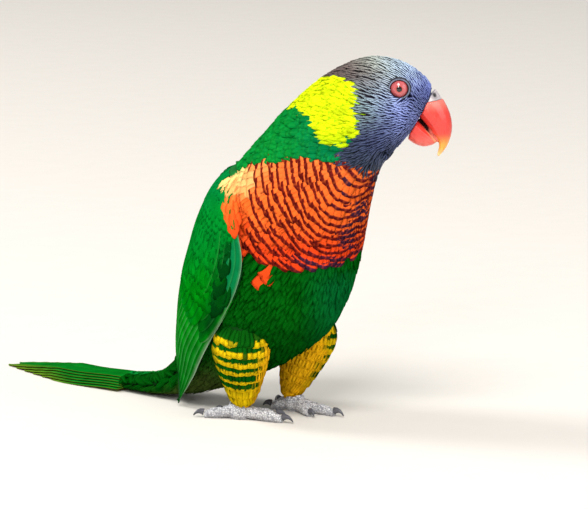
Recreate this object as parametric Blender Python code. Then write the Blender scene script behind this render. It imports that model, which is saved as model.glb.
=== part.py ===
"""A coconut lorikeet, life size, standing upright with its head turned to its left.

Metres, +Z up. The bird faces -Y, so its left side is at +X. Every piece is one closed solid.
The plumage solids give the outline out to the feather tips, and thin gaps part them.
"""

import math
from collections import namedtuple

import bmesh
import bpy
from mathutils import Matrix, Vector

MM = 0.001
GAP = 0.3  # clearance between neighbouring solids

# Driving dimensions, all in millimetres or degrees.
HEAD_YAW = 45.0  # how far the head turns to the bird's left
EYE_SIDE = 12.0  # the head's middle plane at the eyes, left of the body's
EYE_AHEAD = 61.5
EYE_HEIGHT = 134.5
EYE_HALF_SPAN = 8.9
EYE_RADIUS = 4.4
FOOT_HALF_SPAN = 13.5
FOOT_AHEAD = {1: 4.5, -1: 0.0}  # of the left foot and the right
FOOT_TURN = {1: 0.0, -1: -22.0}  # outwards, of the left foot and the right
TOE_RADIUS = 2.45
TAIL_ROOT = 76.0  # where the tail feathers leave their coverts, behind the body's origin
TAIL_PAIRS = 6
TAIL_STEP = 7.2  # how much longer each pair of tail feathers is than the one below it
TAIL_LIFT = 1.2  # of the tail where it leaves the coverts
LOWEST_LENGTH = 38.0  # of the outermost, lowest pair beyond the coverts
VANE_HALF_WIDTH = 4.6
FEATHER_THICKNESS = 0.5
FEATHER_PITCH = FEATHER_THICKNESS + GAP

RINGS_PER_SPAN = 2.2
BODY_POINTS = 24

BLUE = ("plumage_blue", (0.10, 0.12, 0.35), 0.70)
YELLOW = ("plumage_yellow", (0.62, 0.72, 0.03), 0.70)
ORANGE = ("plumage_orange", (0.75, 0.16, 0.03), 0.75)
GREEN = ("plumage_green", (0.02, 0.30, 0.04), 0.65)
GOLD = ("plumage_gold", (0.70, 0.45, 0.03), 0.75)
BILL = ("bill", (0.75, 0.10, 0.06), 0.35)
CERE = ("cere", (0.55, 0.52, 0.50), 0.60)
EYE = ("eye", (0.70, 0.12, 0.04), 0.10)
FOOT_SKIN = ("foot_skin", (0.48, 0.46, 0.46), 0.70)
CLAW = ("claw", (0.07, 0.07, 0.08), 0.40)

# One cross-section of the body: side, ahead and up place its centre, yaw and pitch turn
# the way forward through it, and wide, back and front are its three radii.
Section = namedtuple("Section", "side ahead up yaw pitch wide back front")


def head_section(ahead, up, pitch, wide, back, front):
    """A section placed from the eyes' level on the head's middle plane."""
    turn = math.radians(HEAD_YAW)
    side = EYE_SIDE + ahead * math.sin(turn)
    forward = EYE_AHEAD + ahead * math.cos(turn)
    return Section(side, forward, EYE_HEIGHT + up, HEAD_YAW, pitch, wide, back, front)


BODY = [
    Section(0, -76, 3.7, 0, 2, 10.5, 2.6, 3.0),
    Section(0, -61, 4.6, 0, 4, 11.5, 3.8, 4.0),
    Section(0, -47, 7.4, 0, 18, 11.5, 6.0, 6.0),
    Section(0, -34.5, 14.5, 0, 40, 13.5, 9.5, 11.0),
    Section(0, -22, 25.0, 0, 52, 19.0, 15.5, 18.5),
    Section(0, -10, 36, 0, 60, 25.0, 23.0, 26.0),
    Section(0, 0, 47, 0, 66, 29.0, 28.0, 31.0),
    Section(0, 6, 59, 0, 69, 30.5, 29.5, 32.5),
    Section(0, 11.5, 73, 0, 69, 31.0, 29.5, 32.0),
    Section(0, 18.5, 87, 2, 64, 29.0, 27.5, 29.5),
    Section(0.5, 27, 99.5, 6, 56, 25.0, 24.0, 26.0),
    Section(1.5, 36.5, 110.5, 16, 45, 21.5, 22.3, 22.5),
    Section(3.5, 46.5, 120, 31, 28, 18.4, 21.2, 20.5),
    head_section(-7.5, -7.5, 8, 14.8, 19.3, 21.0),
    head_section(1.5, -8.5, -12, 12.8, 16.5, 17.0),
    head_section(8.8, -10.3, -28, 7.2, 10.6, 10.6),
]

# Where the body is parted, counted in sections from the tail: each piece's name, ends and look.
BODY_PIECES = [
    ("tail_coverts", 0.0, 3.4, GREEN),
    ("belly", 3.4, 7.4, GREEN),
    ("breast", 7.4, 10.3, ORANGE),
    ("neck", 10.3, 12.3, YELLOW),
    ("head", 12.3, 15.0, BLUE),
]

# The folded wing as part of a shell round the back. Angles run round a section from the
# middle of the back at 0 to the middle of the breast at 180.
WingSection = namedtuple("WingSection", "ahead up pitch wide back angle_front angle_back deep")

WING = [
    WingSection(21.0, 94.0, 60, 27.5, 27.0, 66, 42, 8.0),
    WingSection(18.5, 89.5, 63, 31.5, 29.5, 79, 31, 8.0),
    WingSection(15.5, 82.5, 66, 33.8, 31.8, 95, 22, 8.0),
    WingSection(10.5, 72.0, 69, 34.8, 33.3, 109, 14, 8.0),
    WingSection(6.0, 60.5, 69, 34.6, 33.8, 111, 9, 8.0),
    WingSection(0.0, 48.5, 66, 33.0, 33.2, 108, 6, 7.5),
    WingSection(-7.5, 36.5, 61, 29.5, 31.0, 103, 5, 5.5),
    WingSection(-15.0, 25.5, 58, 25.5, 26.5, 100, 12, 4.0),
    WingSection(-21.0, 16.5, 60, 22.0, 21.5, 98, 31, 3.0),
    WingSection(-27.0, 8.8, 62, 18.5, 14.8, 95, 52, 2.6),
    WingSection(-32.0, 3.4, 64, 15.8, 9.0, 93, 71, 2.0),
    WingSection(-34.6, 1.7, 66, 14.6, 5.0, 92, 84, 1.0),
]

COVERT_END = 5.2  # where the coverts give way to the flight feathers, in wing sections
SECONDARY_END = 8.7
PRIMARY_SHARE = 0.42  # of the wing's breadth, from its front edge
EDGE_SINK = 1.6  # how far a wing's edges lie below its bulge


def smooth_between(rows, at):
    """Values read at a fractional index from a smooth curve through rows of numbers."""
    last = len(rows) - 1
    index = min(int(at), last - 1)
    t = at - index
    before = rows[max(index - 1, 0)]
    start = rows[index]
    end = rows[index + 1]
    after = rows[min(index + 2, last)]
    values = []
    for p0, p1, p2, p3 in zip(before, start, end, after):
        slope = p2 - p0
        bend = 2 * p0 - 5 * p1 + 4 * p2 - p3
        rest = 3 * p1 - p0 - 3 * p2 + p3
        values.append(p1 + 0.5 * t * (slope + t * (bend + t * rest)))
    return values


def eased(value):
    """A smooth step from 0 to 1."""
    value = min(max(value, 0.0), 1.0)
    return value * value * (3 - 2 * value)


def axes(yaw, pitch):
    """Unit vectors forward, to the left and to the back of a section."""
    turn = math.radians(yaw)
    rise = math.radians(pitch)
    forward = Vector((math.sin(turn) * math.cos(rise), -math.cos(turn) * math.cos(rise), math.sin(rise)))
    left = Vector((math.cos(turn), math.sin(turn), 0.0))
    return forward, left, forward.cross(left)


def spread(start, end, count):
    """Evenly spaced numbers from start to end."""
    return [start + (end - start) * i / (count - 1) for i in range(count)]


def steps(start, end, per_unit):
    """Positions from start to end, at least two, about per_unit in each unit."""
    return spread(start, end, max(2, int(round((end - start) * per_unit)) + 1))


def make_collections():
    """The collections for the bird's pieces and for the cutters."""
    made = []
    for name in ("lorikeet", "cutters"):
        collection = bpy.data.collections.new(name)
        bpy.context.scene.collection.children.link(collection)
        made.append(collection)
    return made


def clear_scene():
    """Remove what the scene starts with."""
    for obj in list(bpy.data.objects):
        bpy.data.objects.remove(obj, do_unlink=True)


def material(look):
    """The Principled material of a look, made once."""
    name, colour, roughness = look
    made = bpy.data.materials.get(name)
    if made is None:
        made = bpy.data.materials.new(name)
        made.use_nodes = True
        shader = made.node_tree.nodes["Principled BSDF"]
        shader.inputs["Base Color"].default_value = (*colour, 1.0)
        shader.inputs["Roughness"].default_value = roughness
        shader.inputs["Metallic"].default_value = 0.0
    return made


def add_object(name, mesh_edit, collection, look):
    """Turn a bmesh into a smooth object in a collection."""
    mesh = bpy.data.meshes.new(name)
    mesh_edit.to_mesh(mesh)
    mesh_edit.free()
    mesh.shade_smooth()
    mesh.set_sharp_from_angle(angle=math.radians(50))
    obj = bpy.data.objects.new(name, mesh)
    obj.data.materials.append(material(look))
    collection.objects.link(obj)
    if collection.name == "cutters":
        obj.hide_render = True
        obj.display_type = "WIRE"
    return obj


def loft(name, rings, collection, look):
    """A closed solid through rings of points in millimetres, with flat ends."""
    mesh_edit = bmesh.new()
    loops = [[mesh_edit.verts.new(point * MM) for point in ring] for ring in rings]
    count = len(loops[0])
    for lower, upper in zip(loops, loops[1:]):
        for i in range(count):
            j = (i + 1) % count
            mesh_edit.faces.new((lower[i], lower[j], upper[j], upper[i]))
    caps = [mesh_edit.faces.new(loops[0]), mesh_edit.faces.new(loops[-1])]
    bmesh.ops.triangulate(mesh_edit, faces=caps)
    bmesh.ops.recalc_face_normals(mesh_edit, faces=mesh_edit.faces)
    return add_object(name, mesh_edit, collection, look)


def cut(obj, cutters):
    """Cut an object by closed cutters, exactly."""
    for cutter in cutters:
        boolean = obj.modifiers.new("cut_by_" + cutter.name, "BOOLEAN")
        boolean.operation = "DIFFERENCE"
        boolean.solver = "EXACT"
        boolean.object = cutter


def body_ring(at, grow=0.0):
    """The body's outline at a place along it, grown outwards by some millimetres."""
    section = Section(*smooth_between(BODY, at))
    _, left, back = axes(section.yaw, section.pitch)
    centre = Vector((section.side, -section.ahead, section.up))
    ring = []
    for i in range(BODY_POINTS):
        angle = 2 * math.pi * i / BODY_POINTS
        depth = section.back if math.cos(angle) > 0 else section.front
        across = (section.wide + grow) * math.sin(angle)
        ring.append(centre + left * across + back * (depth + grow) * math.cos(angle))
    return ring


def shifted(ring, at, distance):
    """A ring moved along the body, square to its own plane."""
    section = Section(*smooth_between(BODY, at))
    forward, _, _ = axes(section.yaw, section.pitch)
    return [point + forward * distance for point in ring]


def build_body(pieces, cutters):
    """The parted body and its grown copy, which cuts what lies against it."""
    last = len(BODY) - 1
    made = {}
    for name, start, end, look in BODY_PIECES:
        rings = [body_ring(at) for at in steps(start, end, RINGS_PER_SPAN)]
        if start > 0:
            rings[0] = shifted(rings[0], start, GAP / 2)
        if end < last:
            rings[-1] = shifted(rings[-1], end, -GAP / 2)
        made[name] = loft(name, rings, pieces, look)
    rings = [body_ring(at, GAP) for at in steps(0.0, last, RINGS_PER_SPAN)]
    made["cutter"] = loft("body_cutter", rings, cutters, GREEN)
    return made


def head_point(ahead, up, side=0.0):
    """A point placed from the eyes' level, ahead along the head and to its left."""
    forward, left, _ = axes(HEAD_YAW, 0.0)
    return Vector((EYE_SIDE, -EYE_AHEAD, EYE_HEIGHT + up)) + forward * ahead + left * side


def ball(name, centre, radius, collection, look):
    """A sphere with its poles to the head's sides."""
    mesh_edit = bmesh.new()
    bmesh.ops.create_uvsphere(mesh_edit, u_segments=14, v_segments=8, radius=radius * MM)
    _, left, _ = axes(HEAD_YAW, 0.0)
    turn = Vector((0, 0, 1)).rotation_difference(left).to_matrix()
    bmesh.ops.rotate(mesh_edit, cent=(0, 0, 0), matrix=turn, verts=mesh_edit.verts)
    bmesh.ops.translate(mesh_edit, vec=centre * MM, verts=mesh_edit.verts)
    return add_object(name, mesh_edit, collection, look)


def build_eyes(head, pieces, cutters):
    """Both eyes, each in a socket of the head."""
    for name, side in (("eye_left", 1), ("eye_right", -1)):
        centre = head_point(0.0, 0.0, side * EYE_HALF_SPAN)
        ball(name, centre, EYE_RADIUS, pieces, EYE)
        socket = ball(name + "_socket", centre, EYE_RADIUS + GAP, cutters, EYE)
        cut(head, [socket])


# Cross-sections of the two halves of the bill: the outer edge's and the inner edge's places
# ahead of the eyes and above them, and half the width.
BillSection = namedtuple("BillSection", "outer_ahead outer_up inner_ahead inner_up wide")

BILL_UPPER = [
    BillSection(14.3, -1.3, 6.7, -10.7, 5.3),
    BillSection(17.2, -5.6, 9.2, -13.2, 5.2),
    BillSection(19.6, -10.6, 11.4, -15.8, 4.7),
    BillSection(20.5, -15.6, 13.5, -18.6, 3.9),
    BillSection(19.9, -20.0, 15.2, -20.8, 2.8),
    BillSection(18.2, -23.9, 15.8, -23.4, 1.6),
    BillSection(15.6, -27.2, 15.1, -26.7, 0.5),
]

BILL_LOWER = [
    BillSection(3.9, -20.6, 6.4, -12.0, 4.6),
    BillSection(6.4, -22.4, 8.7, -14.7, 4.4),
    BillSection(9.6, -23.4, 11.0, -17.2, 3.8),
    BillSection(12.8, -22.8, 13.1, -19.7, 2.6),
    BillSection(14.6, -21.7, 14.4, -21.0, 1.0),
]


def bill_ring(section, points=14):
    """An egg-shaped outline, widest towards the inner edge."""
    outer = head_point(section.outer_ahead, section.outer_up)
    inner = head_point(section.inner_ahead, section.inner_up)
    _, left, _ = axes(HEAD_YAW, 0.0)
    middle = (outer + inner) / 2
    ring = []
    for i in range(points):
        angle = 2 * math.pi * i / points
        share = math.cos(angle)
        fullness = 1.0 - 0.25 * share
        across = left * section.wide * math.sin(angle) * fullness
        ring.append(middle + (outer - middle) * share + across)
    return ring


def keep_side(obj, point, normal):
    """Keep the part of a mesh on the far side of a plane from its normal's tail."""
    mesh_edit = bmesh.new()
    mesh_edit.from_mesh(obj.data)
    geometry = mesh_edit.verts[:] + mesh_edit.edges[:] + mesh_edit.faces[:]
    cutting = bmesh.ops.bisect_plane(
        mesh_edit, geom=geometry, dist=1e-6, plane_co=point * MM, plane_no=normal, clear_inner=True
    )
    rim = [item for item in cutting["geom_cut"] if isinstance(item, bmesh.types.BMEdge)]
    filled = bmesh.ops.edgeloop_fill(mesh_edit, edges=rim)
    bmesh.ops.triangulate(mesh_edit, faces=filled["faces"])
    bmesh.ops.recalc_face_normals(mesh_edit, faces=mesh_edit.faces)
    mesh_edit.to_mesh(obj.data)
    mesh_edit.free()


def build_bill(face_cutter, pieces):
    """Both halves of the bill, and the cere parted from the upper one's base."""
    parting = head_point(12.5, -5.9)
    upwards = head_point(-0.16, 0.98) - head_point(0.0, 0.0)
    for name, sign, look in (("bill_upper", -1, BILL), ("cere", 1, CERE)):
        rings = []
        for at in steps(0.0, len(BILL_UPPER) - 1, 2):
            rings.append(bill_ring(BillSection(*smooth_between(BILL_UPPER, at))))
        half = loft(name, rings, pieces, look)
        keep_side(half, parting + upwards * sign * GAP / 2, upwards * sign)
        cut(half, [face_cutter])
    rings = []
    for at in steps(0.0, len(BILL_LOWER) - 1, 2):
        rings.append(bill_ring(BillSection(*smooth_between(BILL_LOWER, at)), points=12))
    lower = loft("bill_lower", rings, pieces, BILL)
    cut(lower, [face_cutter])


def primary_share(at):
    """How much of the wing's breadth the primaries take: all of it beyond the secondaries."""
    return PRIMARY_SHARE + (1 - PRIMARY_SHARE) * eased((at - COVERT_END - 1.5) / 2.6)


def wing_ring(side, at, low, high, points=8):
    """The outline of a strip of wing, as an outer arc and an inner one."""
    section = WingSection(*smooth_between(WING, at))
    _, left, back = axes(0.0, section.pitch)
    centre = Vector((0.0, -section.ahead, section.up))
    outer = []
    inner = []
    for share in spread(low, high, points):
        angle = math.radians(section.angle_front + (section.angle_back - section.angle_front) * share)
        edge = max(4 * share * (1 - share), 0.0) ** 0.5
        sunk = min(EDGE_SINK, section.deep * 0.3) * (1 - edge)
        deep = section.deep
        if deep < 5:
            deep = FEATHER_THICKNESS + (deep - FEATHER_THICKNESS) * edge
        chest = 2.5 if math.cos(angle) < 0 else 0.0
        for arc, inward in ((outer, sunk), (inner, sunk + deep)):
            wide = max(section.wide - inward, GAP)
            depth = section.back + chest - inward
            across = max(wide * math.sin(angle), GAP / 2)
            arc.append(centre + left * side * across + back * depth * math.cos(angle))
    return outer + inner[::-1]


def build_wings(cutter_list, pieces):
    """Both folded wings, each parted into coverts, secondaries and primaries."""
    slit = 0.015  # along the wing, in sections
    sliver = 0.012  # across it, as a share of its breadth
    for word, side in (("left", 1), ("right", -1)):
        strips = {"wing_coverts": [], "wing_secondaries": [], "wing_primaries": []}
        for at in steps(0.0, COVERT_END - slit, 1.6):
            strips["wing_coverts"].append(wing_ring(side, at, 0.0, 1.0))
        for at in steps(COVERT_END + slit, SECONDARY_END, 1.6):
            start = primary_share(at) + sliver
            strips["wing_secondaries"].append(wing_ring(side, at, start, 1.0, 6))
        for at in steps(COVERT_END + slit, len(WING) - 1, 1.6):
            end = primary_share(at) - sliver
            strips["wing_primaries"].append(wing_ring(side, at, 0.0, end, 6))
        for name, rings in strips.items():
            piece = loft(f"{name}_{word}", rings, pieces, GREEN)
            cut(piece, cutter_list)


# The feathered thigh: places and radii of its sections from the body down.
THIGH = [
    (13.0, 3.0, 46.0, 8.0, 9.0),
    (16.0, 5.5, 41.0, 11.0, 12.0),
    (17.5, 6.5, 36.0, 11.5, 12.5),
    (18.8, 6.8, 29.0, 12.0, 12.5),
    (17.6, 5.8, 21.5, 10.6, 11.0),
    (15.6, 4.2, 14.0, 8.2, 8.4),
    (14.2, 3.0, 8.5, 6.0, 6.0),
    (13.6, 2.4, 5.8, 4.2, 4.2),
]


def round_ring(centre, normal_axes, wide, deep, points):
    """An elliptical outline across two given directions, with an edge at its foot."""
    first, second = normal_axes
    ring = []
    for i in range(points):
        angle = 2 * math.pi * (i + 0.5) / points
        ring.append(centre + first * wide * math.cos(angle) + second * deep * math.sin(angle))
    return ring


def thigh_rings(side, grow=0.0):
    """Level outlines down one feathered thigh."""
    rings = []
    for at in steps(0.0, len(THIGH) - 1, 1.5):
        out, ahead, up, wide, deep = smooth_between(THIGH, at)
        centre = Vector((side * out, -ahead, up))
        level = (Vector((1, 0, 0)), Vector((0, 1, 0)))
        rings.append(round_ring(centre, level, wide + grow, deep + grow, 16))
    return rings


def build_thighs(body_cutter, pieces, cutters):
    """Both thighs, and their grown copies."""
    grown = []
    for word, side in (("left", 1), ("right", -1)):
        thigh = loft("thigh_" + word, thigh_rings(side), pieces, GOLD)
        cut(thigh, [body_cutter])
        grown.append(loft(f"thigh_{word}_cutter", thigh_rings(side, GAP), cutters, GOLD))
    return grown


# Toes as seen from above on the right foot: name, the way each points in degrees from
# straight ahead towards the bird's right, its length and its claw's length.
TOES = [
    ("toe_3", 6.0, 19.5, 9.0),
    ("toe_2", -22.0, 14.5, 7.5),
    ("toe_4", 162.0, 13.5, 8.0),
    ("toe_1", 204.0, 10.0, 7.0),
]


def foot_centre(side):
    """The point on the floor under one ankle."""
    return Vector((side * FOOT_HALF_SPAN, -FOOT_AHEAD[side], 0.0))


def toe_rings(side, bearing, length, radius, grow=0.0):
    """Outlines along a toe that lies on the floor, flat beneath, with swollen joints."""
    turn = math.radians(bearing + FOOT_TURN[side])
    forward = Vector((side * math.sin(turn), -math.cos(turn), 0.0))
    across = Vector((0, 0, 1)).cross(forward)
    rings = []
    for share in spread(0.0, 1.0, 8):
        swell = 1.0 + 0.09 * math.cos(share * 6 * math.pi)
        taper = 1.0 - 0.22 * share
        if share > 0.95:
            taper *= 0.66
        size = radius * swell * taper + grow
        hump = 1.6 * (1 - share) ** 2
        centre = foot_centre(side) + forward * (length + grow) * share
        centre.z = radius * taper * 0.86 + hump
        ring = round_ring(centre, (across, Vector((0, 0, 1))), size, size, 8)
        for point in ring:
            point.z = max(point.z, -grow)
        rings.append(ring)
    return rings


def claw_rings(side, bearing, toe_length, claw_length, radius):
    """Outlines along a curved claw that comes out of a toe's end."""
    turn = math.radians(bearing + FOOT_TURN[side])
    forward = Vector((side * math.sin(turn), -math.cos(turn), 0.0))
    across = Vector((0, 0, 1)).cross(forward)
    root = foot_centre(side) + forward * (toe_length + GAP)
    root.z = radius * 0.92
    rings = []
    for share in spread(0.0, 1.0, 5):
        dip = math.radians(-14 + 88 * share)
        way = forward * math.cos(dip) - Vector((0, 0, 1)) * math.sin(dip)
        lift = across.cross(way)
        size = max(radius * 0.52 * (1 - share) ** 0.8, 0.22)
        rings.append(round_ring(root, (across, lift), size, size * 1.2, 6))
        root = root + way * claw_length * 0.15
    for ring in rings:
        for point in ring:
            point.z = max(point.z, 0.0)
    return rings


def build_feet(thigh_cutters, pieces, cutters):
    """Both feet: the scaled shank with its pad, four toes and four claws each."""
    for word, side, thigh in (("left", 1, thigh_cutters[0]), ("right", -1, thigh_cutters[1])):
        grown = {}
        for suffix, grow, collection in (("", 0.0, pieces), ("_cutter", GAP, cutters)):
            rings = []
            shank = [(0.0, 3.9, 2.9), (1.8, 4.9, 3.9), (4.4, 4.2, 3.8), (6.6, 3.3, 3.2), (9.0, 2.9, 2.9)]
            for height, wide, deep in shank:
                centre = foot_centre(side) + Vector((0.0, 0.0, height))
                if height == 0.0:
                    centre.z -= grow
                level = (Vector((0, 1, 0)), Vector((1, 0, 0)))
                rings.append(round_ring(centre, level, wide + grow, deep + grow, 14))
            grown[suffix] = loft(f"shank_{word}{suffix}", rings, collection, FOOT_SKIN)
        cut(grown[""], [thigh])
        before = [grown["_cutter"], thigh]
        for name, bearing, length, claw_length in TOES:
            toe = loft(f"{name}_{word}", toe_rings(side, bearing, length, TOE_RADIUS), pieces, FOOT_SKIN)
            cut(toe, before)
            rings = toe_rings(side, bearing, length, TOE_RADIUS, GAP)
            before = before + [loft(f"{name}_{word}_cutter", rings, cutters, FOOT_SKIN)]
            rings = claw_rings(side, bearing, length, claw_length, TOE_RADIUS)
            loft(f"claw_{name[4:]}_{word}", rings, pieces, CLAW)


def tail_end(layer):
    """How far behind the body's origin a pair of tail feathers ends, the lowest first."""
    return TAIL_ROOT + LOWEST_LENGTH + TAIL_STEP * layer


def tail_height(layer, behind):
    """The underside of a layer, which sinks to the floor where the ones below it end."""
    height = 0.0
    for below in range(layer):
        height += FEATHER_PITCH * (1 - eased((behind - tail_end(below)) / TAIL_STEP))
    return height + TAIL_LIFT * (1 - eased((behind - TAIL_ROOT) / LOWEST_LENGTH * 1.3))


def tail_rings(side, layer):
    """Outlines along one tail feather, from its coverts to its pointed tip."""
    outward = TAIL_PAIRS - 1 - layer
    end = tail_end(layer)
    places = spread(TAIL_ROOT + GAP, tail_end(0) - TAIL_STEP, 4)
    places += [tail_end(number) for number in range(layer + 1)]
    rings = []
    for behind in places:
        share = (behind - TAIL_ROOT) / (end - TAIL_ROOT)
        half = VANE_HALF_WIDTH * max(1 - share ** 4, 0.0) ** 0.5 + 0.35
        middle = 1.6 + 1.15 * outward + (0.02 + 0.014 * outward) * (behind - TAIL_ROOT)
        low = tail_height(layer, behind)
        inner_edge = max(middle - half, GAP / 2)
        outer_edge = max(middle + half, inner_edge + FEATHER_THICKNESS)
        ring = []
        for across, up in ((0.0, 0.0), (1.0, 0.0), (1.0, 1.0), (0.0, 1.0)):
            x = side * (inner_edge + (outer_edge - inner_edge) * across)
            ring.append(Vector((x, behind, low + FEATHER_THICKNESS * up)))
        rings.append(ring)
    return rings


def build_tail(pieces):
    """Twelve tail feathers in six layers, the outermost pair lowest."""
    for layer in range(TAIL_PAIRS):
        number = TAIL_PAIRS - layer
        for word, side in (("left", 1), ("right", -1)):
            loft(f"tail_feather_{number}_{word}", tail_rings(side, layer), pieces, GREEN)


def centre_on_length(collections):
    """Move everything so that the origin lies on the floor under the middle of the length."""
    places = []
    for obj in collections[0].objects:
        places += [vertex.co.y for vertex in obj.data.vertices]
    middle = (min(places) + max(places)) / 2
    for collection in collections:
        for obj in collection.objects:
            obj.data.transform(Matrix.Translation((0.0, -middle, 0.0)))


def main():
    """Build the bird."""
    clear_scene()
    pieces, cutters = make_collections()
    body = build_body(pieces, cutters)
    build_eyes(body["head"], pieces, cutters)
    build_bill(body["cutter"], pieces)
    thighs = build_thighs(body["cutter"], pieces, cutters)
    build_wings([body["cutter"]] + thighs, pieces)
    build_feet(thighs, pieces, cutters)
    build_tail(pieces)
    centre_on_length((pieces, cutters))


main()
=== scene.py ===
"""Looks of a life-size coconut lorikeet: skin, plumage, bill, eyes and feet round its solids.

Lengths in the dataclasses are in millimetres unless a name says otherwise, and meshes are
made in metres. The bird faces -Y, its left is at +X, and its head turns to its left.
"""

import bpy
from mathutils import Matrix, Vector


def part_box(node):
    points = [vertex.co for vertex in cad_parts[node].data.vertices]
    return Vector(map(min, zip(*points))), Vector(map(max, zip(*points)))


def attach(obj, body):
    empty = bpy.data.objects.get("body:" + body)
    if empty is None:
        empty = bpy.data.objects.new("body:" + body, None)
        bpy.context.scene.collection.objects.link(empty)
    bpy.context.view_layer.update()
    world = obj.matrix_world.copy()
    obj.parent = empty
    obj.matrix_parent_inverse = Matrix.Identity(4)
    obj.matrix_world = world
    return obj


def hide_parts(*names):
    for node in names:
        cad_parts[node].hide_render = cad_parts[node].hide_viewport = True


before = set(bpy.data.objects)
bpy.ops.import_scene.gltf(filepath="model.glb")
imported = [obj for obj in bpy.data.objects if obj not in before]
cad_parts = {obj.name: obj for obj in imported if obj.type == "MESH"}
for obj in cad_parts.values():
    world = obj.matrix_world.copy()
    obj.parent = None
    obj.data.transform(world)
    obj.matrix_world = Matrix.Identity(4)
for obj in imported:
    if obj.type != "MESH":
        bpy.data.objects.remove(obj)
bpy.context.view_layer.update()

import logging
import math
from dataclasses import dataclass, field
from enum import Enum

import bmesh
import bpy
import numpy as np
from mathutils import Vector
from mathutils.bvhtree import BVHTree
from mathutils.kdtree import KDTree

Array = np.ndarray
Material = bpy.types.Material
Piece = bpy.types.Object
Socket = bpy.types.NodeSocket
Rng = np.random.Generator

MM = 0.001
WING_NODES = ("wing_coverts", "wing_secondaries", "wing_primaries")
BODY_NODES = ("tail_coverts", "belly", "breast", "neck", "head")
SIDES = {"left": 1, "right": -1}
SEED = 11
BACK_SHIFT = 36.56  # from the body's own middle to the middle of the bird's whole length


# ---------------------------------------------------------------- meshes and the frame


def node_mesh(name: str) -> tuple[Array, Array]:
    """The corners and triangles of a solid of the frame, with its doubles merged.

    Args:
        name: The solid's node.

    Returns:
        Corner places in metres, and triples of corner numbers.
    """
    edit = bmesh.new()
    edit.from_mesh(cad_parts[name].data)
    bmesh.ops.remove_doubles(edit, verts=edit.verts, dist=1e-6)
    bmesh.ops.triangulate(edit, faces=edit.faces)
    corners = np.array([vertex.co[:] for vertex in edit.verts])
    faces = np.array([[vertex.index for vertex in face.verts] for face in edit.faces])
    edit.free()
    return corners, faces


def joined(names: tuple | list) -> tuple[Array, Array]:
    """The corners and triangles of several solids, as one list of each.

    Args:
        names: The solids' names.

    Returns:
        Every corner's place, and triangles numbered across all the solids.
    """
    corners, faces, count = [], [], 0
    for name in names:
        places, triangles = node_mesh(name)
        corners.append(places)
        faces.append(triangles + count)
        count += len(places)
    return np.vstack(corners), np.vstack(faces)


def tree_of(names: tuple | list) -> BVHTree:
    """A search tree over the surfaces of several solids."""
    corners, faces = joined(names)
    return BVHTree.FromPolygons(corners.tolist(), faces.tolist())


def unit(vectors: Array) -> Array:
    """The vectors at length one."""
    return vectors / np.maximum(np.linalg.norm(vectors, axis=-1, keepdims=True), 1e-12)


def blend(first: "Array | Tone", second: "Array | Tone", share: Array) -> Array:
    """A mix of two tones or rows of colours by a share for each row.

    Args:
        first: The tone or rows of colours at a share of 0.
        second: The tone or rows of colours at a share of 1.
        share: One share for each row.

    Returns:
        The mixed colours, in linear light.
    """
    share = np.asarray(share)[..., None]
    first, second = (part.linear if isinstance(part, Tone) else part for part in (first, second))
    return first * (1 - share) + second * share


def eased(low: float, high: float, value: Array) -> Array:
    """A smooth step from 0 at low to 1 at high."""
    share = np.clip((value - low) / (high - low), 0.0, 1.0)
    return share * share * (3 - 2 * share)


def spline(p0: Array, p1: Array, p2: Array, p3: Array, t: Array) -> Array:
    """Points at shares of the way from p1 to p2, on a smooth curve through all four."""
    bend = 2 * p0 - 5 * p1 + 4 * p2 - p3 + t * (3 * p1 - p0 - 3 * p2 + p3)
    return p1 + 0.5 * t * (p2 - p0 + t * bend)


@dataclass
class Spine:
    """The line through the middle of the body, from the tail's end to the bill's root."""

    stations: tuple = (
        (0, 113, 1.5),
        (0, 75, 2.6),
        (0, 39.4, 3.7),
        (0, 24.4, 4.6),
        (0, 10.4, 7.4),
        (0, -2.1, 14.5),
        (0, -14.6, 25),
        (0, -26.6, 36),
        (0, -36.6, 47),
        (0, -42.6, 59),
        (0, -48.1, 73),
        (0, -55.1, 87),
        (0.5, -63.6, 99.5),
        (1.5, -73.1, 110.5),
        (3.5, -83.1, 120),
        (6.7, -92.8, 127),
        (13.1, -99.1, 126),
        (17.6, -103.7, 124.4),
    )
    places: int = 220
    middle: Array = field(init=False)
    forward: Array = field(init=False)
    left: Array = field(init=False)
    back: Array = field(init=False)

    def __post_init__(self) -> None:
        """Space the places evenly and turn a plane square to the line at each."""
        rows = np.array(self.stations) * MM
        dense = self._curve(rows, 40)
        run = np.concatenate([[0], np.cumsum(np.linalg.norm(np.diff(dense, axis=0), axis=1))])
        even = np.linspace(0, run[-1], self.places)
        self.middle = np.stack([np.interp(even, run, dense[:, axis]) for axis in range(3)], axis=1)
        forward = unit(np.gradient(self.middle, axis=0))
        for _ in range(12):
            forward[1:-1] = (forward[:-2] + 2 * forward[1:-1] + forward[2:]) / 4
        self.forward = unit(forward)
        level = np.stack([-self.forward[:, 1], self.forward[:, 0], np.zeros(self.places)], axis=1)
        self.left = unit(level)
        self.back = np.cross(self.forward, self.left)

    @staticmethod
    def _curve(rows: Array, count: int) -> Array:
        """A smooth curve through rows of points, with count steps in each span.

        Args:
            rows: The points that the curve goes through.
            count: The steps in each span.

        Returns:
            The curve's points.
        """
        padded = np.vstack([2 * rows[0] - rows[1], rows, 2 * rows[-1] - rows[-2]])
        t = np.linspace(0, 1, count, endpoint=False)[:, None]
        spans = [spline(*ends, t) for ends in zip(padded, padded[1:], padded[2:], padded[3:])]
        return np.vstack(spans + [rows[-1:]])


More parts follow.
